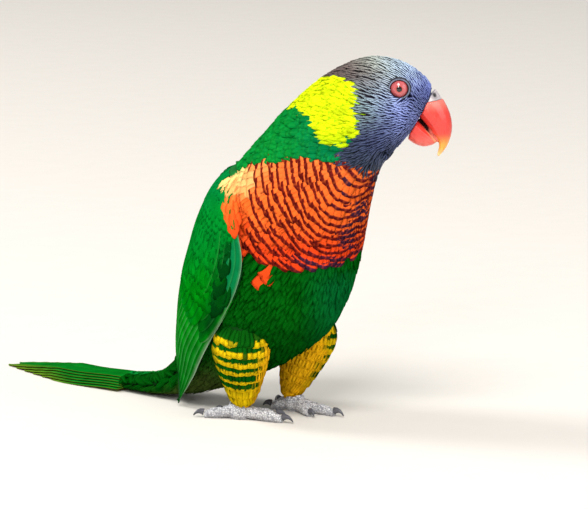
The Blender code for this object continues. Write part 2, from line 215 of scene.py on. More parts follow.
@dataclass
class Shell:
    """A smooth surface as a grid of points, with a lie that runs over it.

    Lines count round the body or across the wing, and places count along it. A spot on the
    surface is a fractional line and a fractional place.
    """

    points: Array
    core: Array
    reach: Array
    closed: bool
    normals: Array = field(init=False)
    by_line: Array = field(init=False)
    by_place: Array = field(init=False)
    flow: Array = field(init=False)

    def __post_init__(self) -> None:
        """Work out the normals, the two ways across the grid and the way the feathers lie."""
        self.by_line = self._slope(self.points)
        self.by_place = np.gradient(self.points, axis=1)
        normals = unit(np.cross(self.by_place, self.by_line))
        outward = np.sum(normals * (self.points - self.core[None]), axis=2, keepdims=True)
        self.normals = normals * np.where(np.sum(outward) < 0, -1.0, 1.0)
        slopes = self._slope(self.reach), np.gradient(self.reach, axis=1)
        self.flow = unit(self._spread(slopes))

    def _slope(self, grid: Array) -> Array:
        """How a grid changes from line to line.

        Args:
            grid: Values or places, by line and place.

        Returns:
            The change from one line to the next.
        """
        if not self.closed:
            return np.gradient(grid, axis=0)
        return (np.roll(grid, -1, axis=0) - np.roll(grid, 1, axis=0)) / 2

    def _spread(self, slopes: tuple) -> Array:
        """The surface gradient of a value from its changes by line and by place.

        Args:
            slopes: The value's change by line and by place.

        Returns:
            The gradient at each place of the shell.
        """
        a = np.sum(self.by_line * self.by_line, axis=2) + 1e-12
        b = np.sum(self.by_line * self.by_place, axis=2)
        c = np.sum(self.by_place * self.by_place, axis=2) + 1e-12
        share = np.maximum(a * c - b * b, 1e-16)
        first = (c * slopes[0] - b * slopes[1]) / share
        second = (a * slopes[1] - b * slopes[0]) / share
        return self.by_line * first[..., None] + self.by_place * second[..., None]

    def read(self, grid: Array, line: Array, place: Array) -> Array:
        """Values of a grid between its points.

        Args:
            grid: One row of values, or one number, for each line and place.
            line: Fractional lines.
            place: Fractional places.

        Returns:
            The values, smooth between the four nearest points.
        """
        count, places = grid.shape[:2]
        if self.closed:
            line = np.mod(line, count)
        else:
            line = np.clip(line, 0, count - 1.001)
        place = np.clip(place, 0, places - 1.001)
        first, low = np.floor(line).astype(int), np.floor(place).astype(int)
        a, b = line - first, place - low
        first = first % count
        second = (first + 1) % count
        if grid.ndim == 3:
            a, b = a[..., None], b[..., None]
        near = grid[first, low] * (1 - b) + grid[first, low + 1] * b
        far = grid[second, low] * (1 - b) + grid[second, low + 1] * b
        return near * (1 - a) + far * a

    def walk(self, line: Array, place: Array, way: Array) -> tuple:
        """Where a short step over the surface leads.

        Args:
            line: Fractional lines of the starts.
            place: Fractional places of the starts.
            way: The steps, in metres.

        Returns:
            The fractional lines and places of the ends.
        """
        u, v = self.read(self.by_line, line, place), self.read(self.by_place, line, place)
        a, b, c = np.sum(u * u, -1), np.sum(u * v, -1), np.sum(v * v, -1)
        p, q = np.sum(u * way, -1), np.sum(v * way, -1)
        share = np.maximum(a * c - b * b, 1e-16)
        return line + (c * p - b * q) / share, place + (a * q - b * p) / share

    def around(self, line: Array) -> Array:
        """How far lines of a closed shell are from its first, in degrees either way."""
        return np.abs((line / len(self.points) * 360 + 180) % 360 - 180)

    def rows(
        self, low: float, high: float, step: float, space: float, rng: Rng, wave: float = 0.0
    ) -> tuple:
        """Spots in rows at even reaches, like the courses of a tiled roof.

        Args:
            low: The first row's reach, in millimetres.
            high: The reach that no row passes.
            step: From one row to the next.
            space: From one spot to the next along a row.
            rng: What shifts the spots a little.
            wave: How far a row strays from its reach, in millimetres.

        Returns:
            Fractional lines, fractional places and the number of each spot's row.
        """
        lines, places, numbers = [], [], []
        count = len(self.points)
        for number, level in enumerate(np.arange(low, high, step) * MM):
            turns = np.arange(count) / count * 2 * math.pi
            sway = np.sin(13 * turns + 1.9 * number) + 0.8 * np.sin(29 * turns + 0.7 * number)
            sway = sway + 0.5 * np.sin(47 * turns + 2.3 * number)
            levels = level + wave * MM * sway
            cross = np.array([self._crossing(self.reach[line], levels[line]) for line in range(count)])
            ends = np.arange(count)
            if self.closed:
                ends, cross = np.append(ends, count), np.append(cross, cross[0])
            spots = self.read(self.points, ends.astype(float), np.nan_to_num(cross))
            gaps = np.linalg.norm(np.diff(spots, axis=0), axis=1)
            whole = ~np.isnan(cross[1:]) & ~np.isnan(cross[:-1])
            run = np.concatenate([[0], np.cumsum(np.where(whole, gaps, 0.0))])
            start = (0.5 * (number % 2) + 0.25 + 0.06 * rng.standard_normal()) * space * MM
            at = np.arange(start, run[-1], space * MM)
            at = at + rng.normal(0, 0.07 * space * MM, len(at))
            at = at[(at > 0) & (at < run[-1])]
            index = np.clip(np.searchsorted(run, at) - 1, 0, len(gaps) - 1)
            share = (at - run[index]) / np.maximum(run[index + 1] - run[index], 1e-9)
            lines.append(index + share)
            places.append(cross[index] * (1 - share) + cross[index + 1] * share)
            numbers.append(np.full(len(at), number))
        return np.concatenate(lines), np.concatenate(places), np.concatenate(numbers)

    @staticmethod
    def _crossing(reach: Array, level: float) -> float:
        """The fractional place where a line's reach first comes to a level.

        Args:
            reach: How far along each place of the line is.
            level: The reach to find.

        Returns:
            The place, or nan where the line doesn't come to the level.
        """
        order = -1 if reach[0] > reach[-1] else 1
        steady = np.maximum.accumulate(reach[::order])
        return float(np.interp(level, steady, np.arange(len(reach))[::order], left=np.nan, right=np.nan))


def softened(grid: Array, times: int, closed: bool = True) -> Array:
    """A grid with its facets smoothed away.

    Args:
        grid: Values or places, by line and place.
        times: The rounds of smoothing.
        closed: Whether the lines go all round, so that they are smoothed across too.

    Returns:
        The smoothed grid.
    """
    for _ in range(times):
        if closed:
            grid = (np.roll(grid, 1, axis=0) + 2 * grid + np.roll(grid, -1, axis=0)) / 4
        inner = (grid[:, :-2] + 2 * grid[:, 1:-1] + grid[:, 2:]) / 4
        grid = np.concatenate([grid[:, :1], inner, grid[:, -1:]], axis=1)
    return grid


# ---------------------------------------------------------------- the bird's own directions


@dataclass(frozen=True)
class HeadFrame:
    """The head's own directions, from the point between the eyes."""

    yaw: float = 45.0
    side: float = 12.0
    ahead: float = 61.5
    height: float = 134.5
    eye_span: float = 8.9

    @property
    def origin(self) -> Array:
        """The point between the eyes, in metres."""
        return np.array([self.side, -self.ahead - BACK_SHIFT, self.height]) * MM

    @property
    def axes(self) -> Array:
        """The ways forward, left and up, one to a row.

        Returns:
            Unit vectors in the world's axes.
        """
        turn = math.radians(self.yaw)
        forward = (math.sin(turn), -math.cos(turn), 0.0)
        return np.array([forward, (math.cos(turn), math.sin(turn), 0.0), (0.0, 0.0, 1.0)])

    def local(self, points: Array) -> Array:
        """Points in millimetres forward, left and up from between the eyes."""
        return (points - self.origin) @ self.axes.T / MM

    def world(self, points: Array) -> Array:
        """Frame places in metres of points given in the head's own millimetres."""
        return self.origin + np.asarray(points, float) * MM @ self.axes

    def eye(self, side: int) -> Array:
        """The middle of one eyeball, in metres."""
        return self.world(np.array([0.0, side * self.eye_span, 0.0]))

    def from_eye(self, points: Array, side: int) -> tuple:
        """How far points are from one eye's axis, in millimetres, and the way away from it.

        Args:
            points: Places in metres.
            side: 1 for the left eye and -1 for the right.

        Returns:
            The distances, huge on the head's other side, and the ways as unit rows.
        """
        axis = self.axes[1] * side
        offset = points - self.eye(side)
        along = offset @ axis
        flat = offset - along[:, None] * axis
        apart = np.linalg.norm(flat, axis=1) / MM
        return np.where(along > -6 * MM, apart, 99.0), unit(flat)


@dataclass(frozen=True)
class Elevation:
    """A flat three-quarter elevation from the bird's right, on which the markings are drawn.

    Across runs forward and up runs upward, in millimetres from the right eye. A spot on the
    left is drawn where its twin on the right is.
    """

    head: HeadFrame
    turn: float = -45.0
    tilt: float = 9.0

    @property
    def toward(self) -> Array:
        """The way from the bird to whoever draws the elevation."""
        turn, tilt = math.radians(self.turn), math.radians(self.tilt)
        return np.array([math.sin(turn) * math.cos(tilt), -math.cos(turn) * math.cos(tilt), math.sin(tilt)])

    def draw(self, points: Array) -> Array:
        """Where points of the right side fall on the elevation.

        Args:
            points: Places in metres.

        Returns:
            Millimetres across and up for each point.
        """
        turn = math.radians(self.turn)
        across = np.array([math.cos(turn), math.sin(turn), 0.0])
        upward = np.cross(self.toward, across)
        offset = points - self.head.eye(-1)
        return np.stack([offset @ across, offset @ upward], axis=-1) / MM

    def draw_twin(self, points: Array) -> Array:
        """Where points of either side of the trunk fall, once they are on the right.

        Args:
            points: Places in metres.

        Returns:
            The places across the elevation and the heights on it, in millimetres.
        """
        twins = np.array(points, float)
        twins[..., 0] = -np.abs(twins[..., 0])
        return self.draw(twins)


@dataclass
class BodyMap:
    """Finds the body's surface round the spine, and says how its feathers lie."""

    spine: Spine
    head: HeadFrame
    elevation: Elevation
    angles: int = 144
    cap_places: int = 10
    cap_turn: float = 52.0
    throat: tuple = (0.0, -96.0, 112.0)
    throat_reach: float = 34.0
    cell: float = 0.9
    cleft: float = 3.0
    shell: Shell = field(init=False)
    drawn: Array = field(init=False)

    def __post_init__(self) -> None:
        """Cast rays out from the spine to the body's solids."""
        tree = union_tree((*BODY_NODES, "eye_left", "eye_right"), self.cell)
        last = self.spine.places - 1
        first = int(np.argmax(self.spine.middle[:, 1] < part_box("tail_coverts")[1][1])) + 1
        rays = [(index, 0.0) for index in range(first, last + 1)]
        tilts = [self.cap_turn * (i + 1) / self.cap_places for i in range(self.cap_places)]
        rays += [(last, math.radians(tilt)) for tilt in tilts]
        turns = np.radians(np.arange(self.angles) / self.angles * 360)
        grid = np.zeros((self.angles, len(rays), 3))
        for column, (index, tilt) in enumerate(rays):
            origin = Vector(self.spine.middle[index])
            for row, turn in enumerate(turns):
                way = self.spine.back[index] * math.cos(turn) + self.spine.left[index] * math.sin(turn)
                way = way * math.cos(tilt) + self.spine.forward[index] * math.sin(tilt)
                hit = self._outermost(tree, origin, Vector(way))
                grid[row, column] = hit if hit is not None else grid[row, column - 1]
        grid = softened(grid, 3)
        core = self.spine.middle[[index for index, _ in rays]]
        self.shell = Shell(grid, core, self._reach(grid), True)
        straight = self.elevation.draw(grid)
        mirrored = straight[(-np.arange(self.angles)) % self.angles]
        right = (np.arange(self.angles) > self.angles // 2)[:, None]
        seen = np.maximum(eased(-0.3, -0.02, self.shell.normals @ self.elevation.toward), right)
        self.drawn = blend(mirrored, straight, softened(seen[..., None], 3)[..., 0])

    def _outermost(self, tree: BVHTree, origin: Vector, way: Vector) -> Vector | None:
        """Where a ray leaves the body, whatever narrow clefts it crosses on its way.

        Args:
            tree: The body's surface.
            origin: Where the ray starts, inside the body.
            way: The direction of the ray.

        Returns:
            The last place where it leaves the body, or None if it meets nothing.
        """
        inside, found, start = True, None, origin
        while True:
            hit = tree.ray_cast(start, way, 0.1 if inside else self.cleft * MM)[0]
            if hit is None:
                return found
            if inside:
                found = hit
            inside, start = not inside, hit + way * 1e-5

    def _reach(self, grid: Array) -> Array:
        """How far each point is from the bill, by way of the throat on the underparts.

        Args:
            grid: The shell's points.

        Returns:
            How far each point is, in metres.
        """
        steps = np.linalg.norm(np.diff(grid, axis=1), axis=2)
        along = np.concatenate([np.cumsum(steps[:, ::-1], axis=1)[:, ::-1], np.zeros((len(grid), 1))], axis=1)
        turn = np.abs((np.arange(self.angles) / self.angles * 360 + 180) % 360 - 180)[:, None]
        apart = np.linalg.norm(grid - np.array(self.throat) * MM, axis=2)
        weight = eased(62, 88, turn) * eased(40, 85, along / MM)
        reach = along * (1 - weight) + (apart + self.throat_reach * MM) * weight
        return softened(reach[..., None], 2)[..., 0]

    def spots_near(self, points: Array) -> tuple:
        """The lines and places of the shell that lie nearest to points.

        Args:
            points: Places in metres.

        Returns:
            A line number and a place number for each point.
        """
        tree = KDTree(self.shell.points.size // 3)
        places = self.shell.points.shape[1]
        for index, point in enumerate(self.shell.points.reshape(-1, 3)):
            tree.insert(point, index)
        tree.balance()
        found = np.array([tree.find(point)[1] for point in points])
        return found // places, found % places


# ---------------------------------------------------------------- colours and finishes


class Tone(Enum):
    """Colours of the bird, as a display's red, green and blue from 0 to 255."""

    FOREHEAD = (52, 62, 178)
    LORE = (46, 48, 88)
    CHEEK = (62, 70, 132)
    THROAT = (46, 58, 70)
    CROWN = (78, 88, 86)
    OCCIPUT = (68, 58, 62)
    STREAK_BLUE = (160, 176, 242)
    # The sky and pale streaks are the hood's own streaks, made lighter as painted highlight where the sun
    # falls on the top of the head.
    STREAK_SKY = (202, 226, 246)
    STREAK_TEAL = (152, 190, 192)
    STREAK_PALE = (200, 208, 196)
    STREAK_BROWN = (128, 108, 102)
    STREAK_SLATE = (92, 104, 150)
    COLLAR = (214, 236, 18)
    # The collar's lower part, darker as painted shade.
    COLLAR_DEEP = (178, 214, 12)
    COLLAR_SHADE = (150, 200, 18)
    MANTLE = (6, 128, 44)
    MANTLE_TEAL = (4, 118, 66)
    MANTLE_EDGE = (24, 152, 52)
    APRICOT = (250, 142, 74)
    ORANGE = (252, 108, 42)
    VERMILION = (232, 58, 22)
    MAROON = (116, 28, 24)
    INK = (42, 38, 66)
    CREAM = (250, 208, 128)
    BELLY = (2, 86, 10)
    # The belly's darker green; it is also painted as shade on the lower belly and on skin deep inside the
    # coat.
    BELLY_DARK = (2, 62, 8)
    # A teal sheen, painted on the front of the belly.
    BELLY_TEAL = (4, 104, 48)
    VENT = (58, 76, 30)
    WING = (2, 120, 36)
    WING_LEAF = (1, 116, 12)
    WING_TEAL = (8, 118, 66)
    WING_SHADE = (3, 58, 18)
    # The quills' pale front edges are painted highlight: light green on most, whitish on the outermost.
    WING_RIM = (74, 176, 88)
    QUILL_DARK = (22, 44, 34)
    QUILL_EDGE = (176, 206, 176)
    THIGH_GOLD = (228, 194, 14)
    # The thigh's own orange-yellow, raised in brightness as painted light.
    THIGH_AMBER = (255, 190, 24)
    THIGH_GREEN = (10, 84, 14)
    TAIL = (6, 112, 28)
    TAIL_YELLOW = (150, 160, 40)
    CORAL = (226, 62, 52)
    CORAL_PALE = (238, 126, 112)
    CORAL_DEEP = (196, 40, 38)
    HORN_YELLOW = (246, 172, 66)
    HORN_CREAM = (244, 214, 160)
    GAPE_DARK = (38, 14, 14)
    CERE = (204, 196, 198)
    CERE_DARK = (120, 114, 120)
    LID = (112, 120, 140)
    LID_DARK = (34, 34, 42)
    IRIS = (188, 88, 92)
    IRIS_EDGE = (112, 30, 30)
    IRIS_INNER = (172, 62, 46)
    PUPIL = (3, 2, 3)
    FOOT = (208, 208, 210)
    FOOT_DARK = (132, 132, 138)
    FOOT_PALE = (212, 214, 220)
    CLAW = (48, 48, 54)
    CLAW_PALE = (96, 96, 104)
    FLOOR = (226, 222, 216)
    WALL = (214, 212, 210)

    @property
    def linear(self) -> Array:
        """The colour in linear light."""
        share = np.array(self.value) / 255.0
        return np.where(share <= 0.04045, share / 12.92, ((share + 0.055) / 1.055) ** 2.4)

    @property
    def rgba(self) -> tuple:
        """The colour in linear light, with full cover."""
        return (*self.linear, 1.0)


class Graph:
    """Adds nodes to a node tree and links them."""

    def __init__(self, tree: bpy.types.NodeTree) -> None:
        """Keep the tree."""
        self.tree = tree

    def add(self, kind: str, inputs: dict | None = None, **settings: object) -> bpy.types.Node:
        """A node with its settings and inputs.

        Args:
            kind: The node's type.
            inputs: Values or sockets for its inputs, by name or number.
            settings: The node's own properties.

        Returns:
            The new node.
        """
        node = self.tree.nodes.new(kind)
        for name, value in settings.items():
            setattr(node, name, value)
        for name, value in (inputs or {}).items():
            socket = node.inputs[name]
            if isinstance(value, Socket):
                self.tree.links.new(value, socket)
            else:
                socket.default_value = value
        return node

    def sums(self, operation: str, first: object, second: object = 0.0) -> Socket:
        """The result of a Math node on one or two numbers or sockets."""
        return self.add("ShaderNodeMath", {0: first, 1: second}, operation=operation).outputs[0]

    def ramp(self, value: object, low: object, high: object, start: float = 0.0, end: float = 1.0) -> Socket:
        """A smooth step from start to end as a value goes from low to high."""
        inputs = {"Value": value, "From Min": low, "From Max": high, "To Min": start, "To Max": end}
        return self.add("ShaderNodeMapRange", inputs, interpolation_type="SMOOTHSTEP").outputs[0]

    def mixed(self, share: object, first: object, second: object, kind: str = "MIX") -> Socket:
        """A blend of two colours.

        Args:
            share: How much of the second colour there is.
            first: The first colour.
            second: The second colour.
            kind: How the node blends them.

        Returns:
            The blended colour.
        """
        node = self.add("ShaderNodeMix", data_type="RGBA", blend_type=kind)
        for index, value in ((0, share), (6, first), (7, second)):
            if isinstance(value, Socket):
                self.tree.links.new(value, node.inputs[index])
            else:
                node.inputs[index].default_value = value
        return node.outputs[2]

    def attribute(self, name: str) -> bpy.types.Node:
        """A node that reads one of the piece's own attributes."""
        return self.add("ShaderNodeAttribute", attribute_name=name)

    def noise(self, scale: float, detail: float = 3.0, stretch: tuple = (1.0, 1.0, 1.0)) -> Socket:
        """Noise on the piece's Object coordinates.

        Args:
            scale: How fine the noise is.
            detail: How many finer layers it has.
            stretch: The scale of the coordinates on each axis.

        Returns:
            The noise.
        """
        place = self.add("ShaderNodeTexCoord").outputs["Object"]
        place = self.add("ShaderNodeMapping", {"Vector": place, "Scale": stretch}).outputs[0]
        inputs = {"Vector": place, "Scale": scale, "Detail": detail}
        return self.add("ShaderNodeTexNoise", inputs).outputs["Fac"]


@dataclass(frozen=True)
class Finish:
    """What every finish has: a name, a roughness and a gloss."""

    name: str
    roughness: float = 0.5
    gloss: float = 0.5
    coat: float = 0.0
    under_skin: float = 0.0

    def start(self) -> tuple[Material, Graph, bpy.types.Node]:
        """A new material with its shader's constants set, its graph and its shader.

        Returns:
            The material, the graph that adds nodes to it, and its shader.
        """
        material = bpy.data.materials.new(self.name)
        material.use_nodes = True
        graph = Graph(material.node_tree)
        shader = material.node_tree.nodes["Principled BSDF"]
        constants = {
            "Roughness": self.roughness,
            "Specular IOR Level": self.gloss,
            "Coat Weight": self.coat,
            "Coat Roughness": 0.04,
            "Subsurface Weight": self.under_skin,
            "Subsurface Radius": (0.6, 0.2, 0.1),
            "Subsurface Scale": 0.001,
        }
        for name, value in constants.items():
            shader.inputs[name].default_value = value
        return material, graph, shader

    def close(
        self, graph: Graph, shader: bpy.types.Node, colour: object, rough: object, height: object, deep: float
    ) -> None:
        """Link a colour, a roughness and a relief to the shader.

        Args:
            graph: The material's graph.
            shader: Its Principled shader.
            colour: The base colour's socket.
            rough: The roughness socket.
            height: The relief's socket, from 0 to 1.
            deep: The relief's depth in millimetres.
        """
        graph.tree.links.new(colour, shader.inputs["Base Color"])
        graph.tree.links.new(rough, shader.inputs["Roughness"])
        bump = graph.add("ShaderNodeBump", {"Height": height, "Strength": 1.0, "Distance": deep * MM})
        graph.tree.links.new(bump.outputs[0], shader.inputs["Normal"])


@dataclass(frozen=True)
class PlumageFinish(Finish):
    """Feather vanes: two colours along each vane, a shaft, and barbs that slant off it."""

    barbs: float = 70.0
    slant: float = 14.0
    barb_shade: float = 0.34
    shaft_half: float = 0.16
    relief: float = 0.05
    ragged: float = 0.16

    def make(self) -> Material:
        """The material.

        Returns:
            The finished material.
        """
        material, graph, shader = self.start()
        parts = graph.add("ShaderNodeSeparateXYZ", {0: graph.attribute("vane").outputs["Vector"]})
        across = graph.sums("ABSOLUTE", parts.outputs[0])
        along = parts.outputs[1]
        grain = graph.noise(900.0, 4.0)
        blotch = graph.noise(160.0, 2.0)
        uneven = graph.sums("MULTIPLY", graph.sums("SUBTRACT", grain, 0.5), self.ragged)
        ragged = graph.sums("ADD", along, uneven)
        band = graph.attribute("band").outputs["Fac"]
        tip = graph.ramp(ragged, graph.sums("SUBTRACT", band, 0.035), graph.sums("ADD", band, 0.035))
        inner, outer = (graph.attribute(name).outputs["Color"] for name in ("inner", "outer"))
        colour = graph.mixed(tip, inner, outer)
        shaft = graph.attribute("shaft")
        near = graph.ramp(across, self.shaft_half * 0.4, self.shaft_half * 1.8, 1.0, 0.0)
        near = graph.sums("MULTIPLY", near, shaft.outputs["Alpha"])
        colour = graph.mixed(near, colour, shaft.outputs["Color"])
        combed, sloped = graph.sums("MULTIPLY", along, self.barbs), graph.sums("MULTIPLY", across, self.slant)
        slanted = graph.sums("SUBTRACT", combed, sloped)
        slanted = graph.sums("ADD", slanted, graph.sums("MULTIPLY", grain, 5.0))
        barb = graph.sums("ADD", graph.sums("MULTIPLY", graph.sums("SINE", slanted), 0.5), 0.5)
        shade = graph.sums("MULTIPLY", graph.sums("SUBTRACT", 1.0, barb), self.barb_shade)
        colour = graph.mixed(shade, colour, graph.mixed(1.0, colour, (0.45, 0.45, 0.45, 1.0), "MULTIPLY"))
        lighten = graph.ramp(blotch, 0.3, 0.7, 0.84, 1.12)
        tinted = graph.add("ShaderNodeCombineColor", {0: lighten, 1: lighten, 2: lighten}).outputs[0]
        colour = graph.mixed(1.0, colour, tinted, "MULTIPLY")
        rough = graph.ramp(grain, 0.25, 0.75, self.roughness - 0.08, self.roughness + 0.1)
        self.close(graph, shader, colour, rough, barb, self.relief)
        return material


@dataclass(frozen=True)
class ToneFinish(Finish):
    """A surface whose colours are laid on in its own tone attribute, with grain and relief."""

    grain: float = 1500.0
    mottle: float = 0.25
    relief: float = 0.06
    stretch: tuple = (1.0, 1.0, 1.0)
    cells: float = 0.0
    cell_edge: tuple = Tone.FOOT_DARK.rgba

    def make(self) -> Material:
        """The material.

        Returns:
            The finished material.
        """
        material, graph, shader = self.start()
        fine = graph.noise(self.grain, 4.0, self.stretch)
        wide = graph.noise(self.grain * 0.18, 3.0, self.stretch)
        colour = graph.attribute("tone").outputs["Color"]
        light = graph.ramp(wide, 0.3, 0.7, 1 - self.mottle, 1 + self.mottle)
        light = graph.sums("ADD", light, graph.ramp(fine, 0.3, 0.7, -0.06, 0.06))
        tinted = graph.add("ShaderNodeCombineColor", {0: light, 1: light, 2: light}).outputs[0]
        colour = graph.mixed(1.0, colour, tinted, "MULTIPLY")
        height = fine
        if self.cells:
            place = graph.add("ShaderNodeTexCoord").outputs["Object"]
            settings = {"Vector": place, "Scale": self.cells, "Randomness": 0.8}
            cell = graph.add("ShaderNodeTexVoronoi", settings, feature="DISTANCE_TO_EDGE").outputs["Distance"]
            scale = graph.ramp(cell, 0.02, 0.16)
            colour = graph.mixed(graph.sums("SUBTRACT", 1.0, scale), colour, self.cell_edge)
            height = graph.sums("ADD", graph.sums("MULTIPLY", scale, 0.8), graph.sums("MULTIPLY", fine, 0.2))
        rough = graph.ramp(wide, 0.3, 0.7, self.roughness - 0.06, self.roughness + 0.08)
        self.close(graph, shader, colour, rough, height, self.relief)
        return material


@dataclass(frozen=True)
class PlainFinish(Finish):
    """The studio's plain surfaces."""

    tone: Tone = Tone.FLOOR

    def make(self) -> Material:
        """The material.

        Returns:
            The finished material.
        """
        material, graph, shader = self.start()
        fine = graph.noise(60.0, 4.0)
        darker = tuple(self.tone.linear * 0.985) + (1.0,)
        colour = graph.mixed(graph.ramp(fine, 0.3, 0.7), self.tone.rgba, darker)
        rough = graph.ramp(fine, 0.3, 0.7, self.roughness - 0.05, self.roughness + 0.05)
        self.close(graph, shader, colour, rough, fine, 0.01)
        return material


# ---------------------------------------------------------------- plain meshes


def mesh_object(name: str, corners: Array, faces: list, smooth: bool = True) -> Piece:
    """A mesh object at the origin, linked to the scene.

    Args:
        name: The object's name.
        corners: Places in metres.
        faces: Tuples or rows of corner numbers.
        smooth: Whether the faces are shaded smooth.

    Returns:
        The object.
    """
    mesh = bpy.data.meshes.new(name)
    mesh.from_pydata(np.asarray(corners).tolist(), [], [tuple(int(i) for i in face) for face in faces])
    mesh.update()
    if smooth:
        mesh.shade_smooth()
    made = bpy.data.objects.new(name, mesh)
    bpy.context.scene.collection.objects.link(made)
    return made


def read_corners(mesh: bpy.types.Mesh, normals: bool = False) -> Array:
    """A mesh's corner places, or the normals at its corners.

    Args:
        mesh: The mesh to read.
        normals: Whether to read the normals in place of the places.

    Returns:
        One row for each corner.
    """
    flat = np.zeros(len(mesh.vertices) * 3, np.float32)
    if normals:
        mesh.vertex_normals.foreach_get("vector", flat)
    else:
        mesh.vertices.foreach_get("co", flat)
    return flat.reshape(-1, 3).astype(float)


def move_corners(mesh: bpy.types.Mesh, places: Array) -> None:
    """Put a mesh's corners at new places."""
    mesh.vertices.foreach_set("co", np.asarray(places, np.float32).ravel())
    mesh.update()


def swell(mesh: bpy.types.Mesh, far: float | Array) -> None:
    """Move a mesh's corners outward along their normals, in millimetres."""
    move_corners(mesh, read_corners(mesh) + read_corners(mesh, True) * far * MM)


def store(mesh: bpy.types.Mesh, name: str, kind: str, values: Array) -> None:
    """Store one value for each corner, in an attribute of a kind.

    Args:
        mesh: The mesh to store in.
        name: The attribute's name.
        kind: Its kind of value.
        values: One value or row for each corner.
    """
    entry = {"FLOAT_COLOR": "color", "FLOAT_VECTOR": "vector"}.get(kind, "value")
    number = np.int32 if kind == "INT" else np.float32
    layer = mesh.attributes.new(name, kind, "POINT")
    layer.data.foreach_set(entry, np.asarray(values).astype(number).ravel())


def set_colours(mesh: bpy.types.Mesh, name: str, colours: Array) -> None:
    """Store one colour for each corner, with full cover unless a fourth value says less.

    Args:
        mesh: The mesh to store in.
        name: The attribute's name.
        colours: Three or four values for each corner, in linear light.
    """
    if colours.shape[1] == 3:
        colours = np.concatenate([colours, np.ones((len(colours), 1))], axis=1)
    store(mesh, name, "FLOAT_COLOR", colours)


def turn_outward(made: Piece) -> None:
    """Turn a closed mesh's faces outward.

    Args:
        made: The piece, whose mesh is changed in place.
    """
    edit = bmesh.new()
    edit.from_mesh(made.data)
    bmesh.ops.recalc_face_normals(edit, faces=edit.faces)
    edit.to_mesh(made.data)
    edit.free()
    made.data.shade_smooth()


def evaluated(made: Piece, name: str) -> Piece:
    """The object with its modifiers made plain, in place of the one given.

    Args:
        made: The object, which is removed.
        name: The plain object's name.

    Returns:
        The plain object.
    """
    graph = bpy.context.evaluated_depsgraph_get()
    whole = made.evaluated_get(graph)
    mesh = bpy.data.meshes.new_from_object(whole, preserve_all_data_layers=True, depsgraph=graph)
    bpy.data.objects.remove(made)
    mesh.name = name
    plain = bpy.data.objects.new(name, mesh)
    bpy.context.scene.collection.objects.link(plain)
    return plain


def remeshed(name: str, nodes: list, size: float, rounds: int) -> Piece:
    """One smooth closed mesh over copies of some solids, from cells so many millimetres wide."""
    return voxelled(mesh_object(name, *joined(nodes)), size, rounds)


def voxelled(made: Piece, size: float, rounds: int) -> Piece:
    """A closed mesh made again from even cells, so that what overlaps becomes one surface.

    Args:
        made: The closed mesh.
        size: The side of a cell, in millimetres.
        rounds: The rounds of smoothing after it.

    Returns:
        The new object, under the same name.
    """
    cells = made.modifiers.new("cells", "REMESH")
    cells.mode = "VOXEL"
    cells.voxel_size = size * MM
    cells.use_smooth_shade = True
    calm = made.modifiers.new("calm", "SMOOTH")
    calm.factor = 0.5
    calm.iterations = rounds
    return evaluated(made, made.name)


def union_tree(nodes: tuple, size: float) -> BVHTree:
    """A search tree over some solids made into one, with the clefts between them closed.

    Args:
        nodes: The solids' names.
        size: The side of a cell, in millimetres.

    Returns:
        The search tree, in metres.
    """
    made = remeshed("union", list(nodes), size, 2)
    edit = bmesh.new()
    edit.from_mesh(made.data)
    tree = BVHTree.FromBMesh(edit)
    edit.free()
    bpy.data.objects.remove(made)
    return tree


def dress(made: Piece, material: Material, slot: str, nodes: list | tuple = ()) -> Piece:
    """Give a finished piece its material and its body, and hide the solids that it stands for.

    Args:
        made: The piece.
        material: The piece's material.
        slot: The slot's name; not used.
        nodes: The solids that it stands for, if any.

    Returns:
        The same piece.
    """
    made.data.materials.clear()
    made.data.materials.append(material)
    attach(made, "root")
    if nodes:
        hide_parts(*nodes)
    made.data.calc_loop_triangles()
    logging.info("%s: %d triangles", made.name, len(made.data.loop_triangles))
    return made


# ---------------------------------------------------------------- feathers


class VaneShape(Enum):
    """The outlines that a small feather can have."""

    BROAD = 0
    RAGGED = 1
    LANCE = 2
    ROUND = 3
    BAR = 4
    BAR_LOOSE = 5


@dataclass(frozen=True)
class Vane:
    """A feather of unit length and width, as a thin closed plate with a raised middle."""

    shape: VaneShape
    rows: int
    columns: int
    widths: tuple
    rounding: float
    fray: float
    dome: float = 0.35

    def build(self) -> Piece:
        """The plate, with the vane attribute that says where a corner is on the feather.

        Returns:
            The plate, which the coats take their instances from.
        """
        rng = np.random.default_rng(SEED + self.shape.value)
        ups = np.linspace(0, 1, self.rows) ** 0.85
        sides = np.linspace(-1, 1, self.columns)
        fray = rng.uniform(-1, 1, self.columns) * self.fray
        half = np.interp(ups, np.linspace(0, 1, len(self.widths)), self.widths)
        corners, marks = [], []
        for up, wide in zip(ups, half):
            for side, loose in zip(sides, fray):
                y = up * (1 - self.rounding * side * side * up * up) + loose * up ** 4
                z = self.dome * (1 - side * side) * 0.5 + up * (1 - up) * 2.0
                corners.append((side * wide * 0.5, y, z))
                marks.append((side, up, 0.0))
        top = len(corners)
        for row, (up, wide) in enumerate(zip(ups, half)):
            corners.append((0.0, up * 0.985, up * (1 - up) * 2.0 - 0.18))
            marks.append((0.0, up, 1.0))
        faces, count = [], self.columns
        for row in range(self.rows - 1):
            for column in range(count - 1):
                a = row * count + column
                faces.append((a, a + 1, a + count + 1, a + count))
            left, right = row * count, row * count + count - 1
            faces.append((left, left + count, top + row + 1, top + row))
            faces.append((top + row, top + row + 1, right + count, right))
        faces.append(tuple(range(count - 1, -1, -1)) + (top,))
        faces.append(tuple(range(top - count, top)) + (top + self.rows - 1,))
        made = mesh_object(f"vane_{self.shape.name.lower()}", np.array(corners), faces)
        store(made.data, "vane", "FLOAT_VECTOR", marks)
        return made


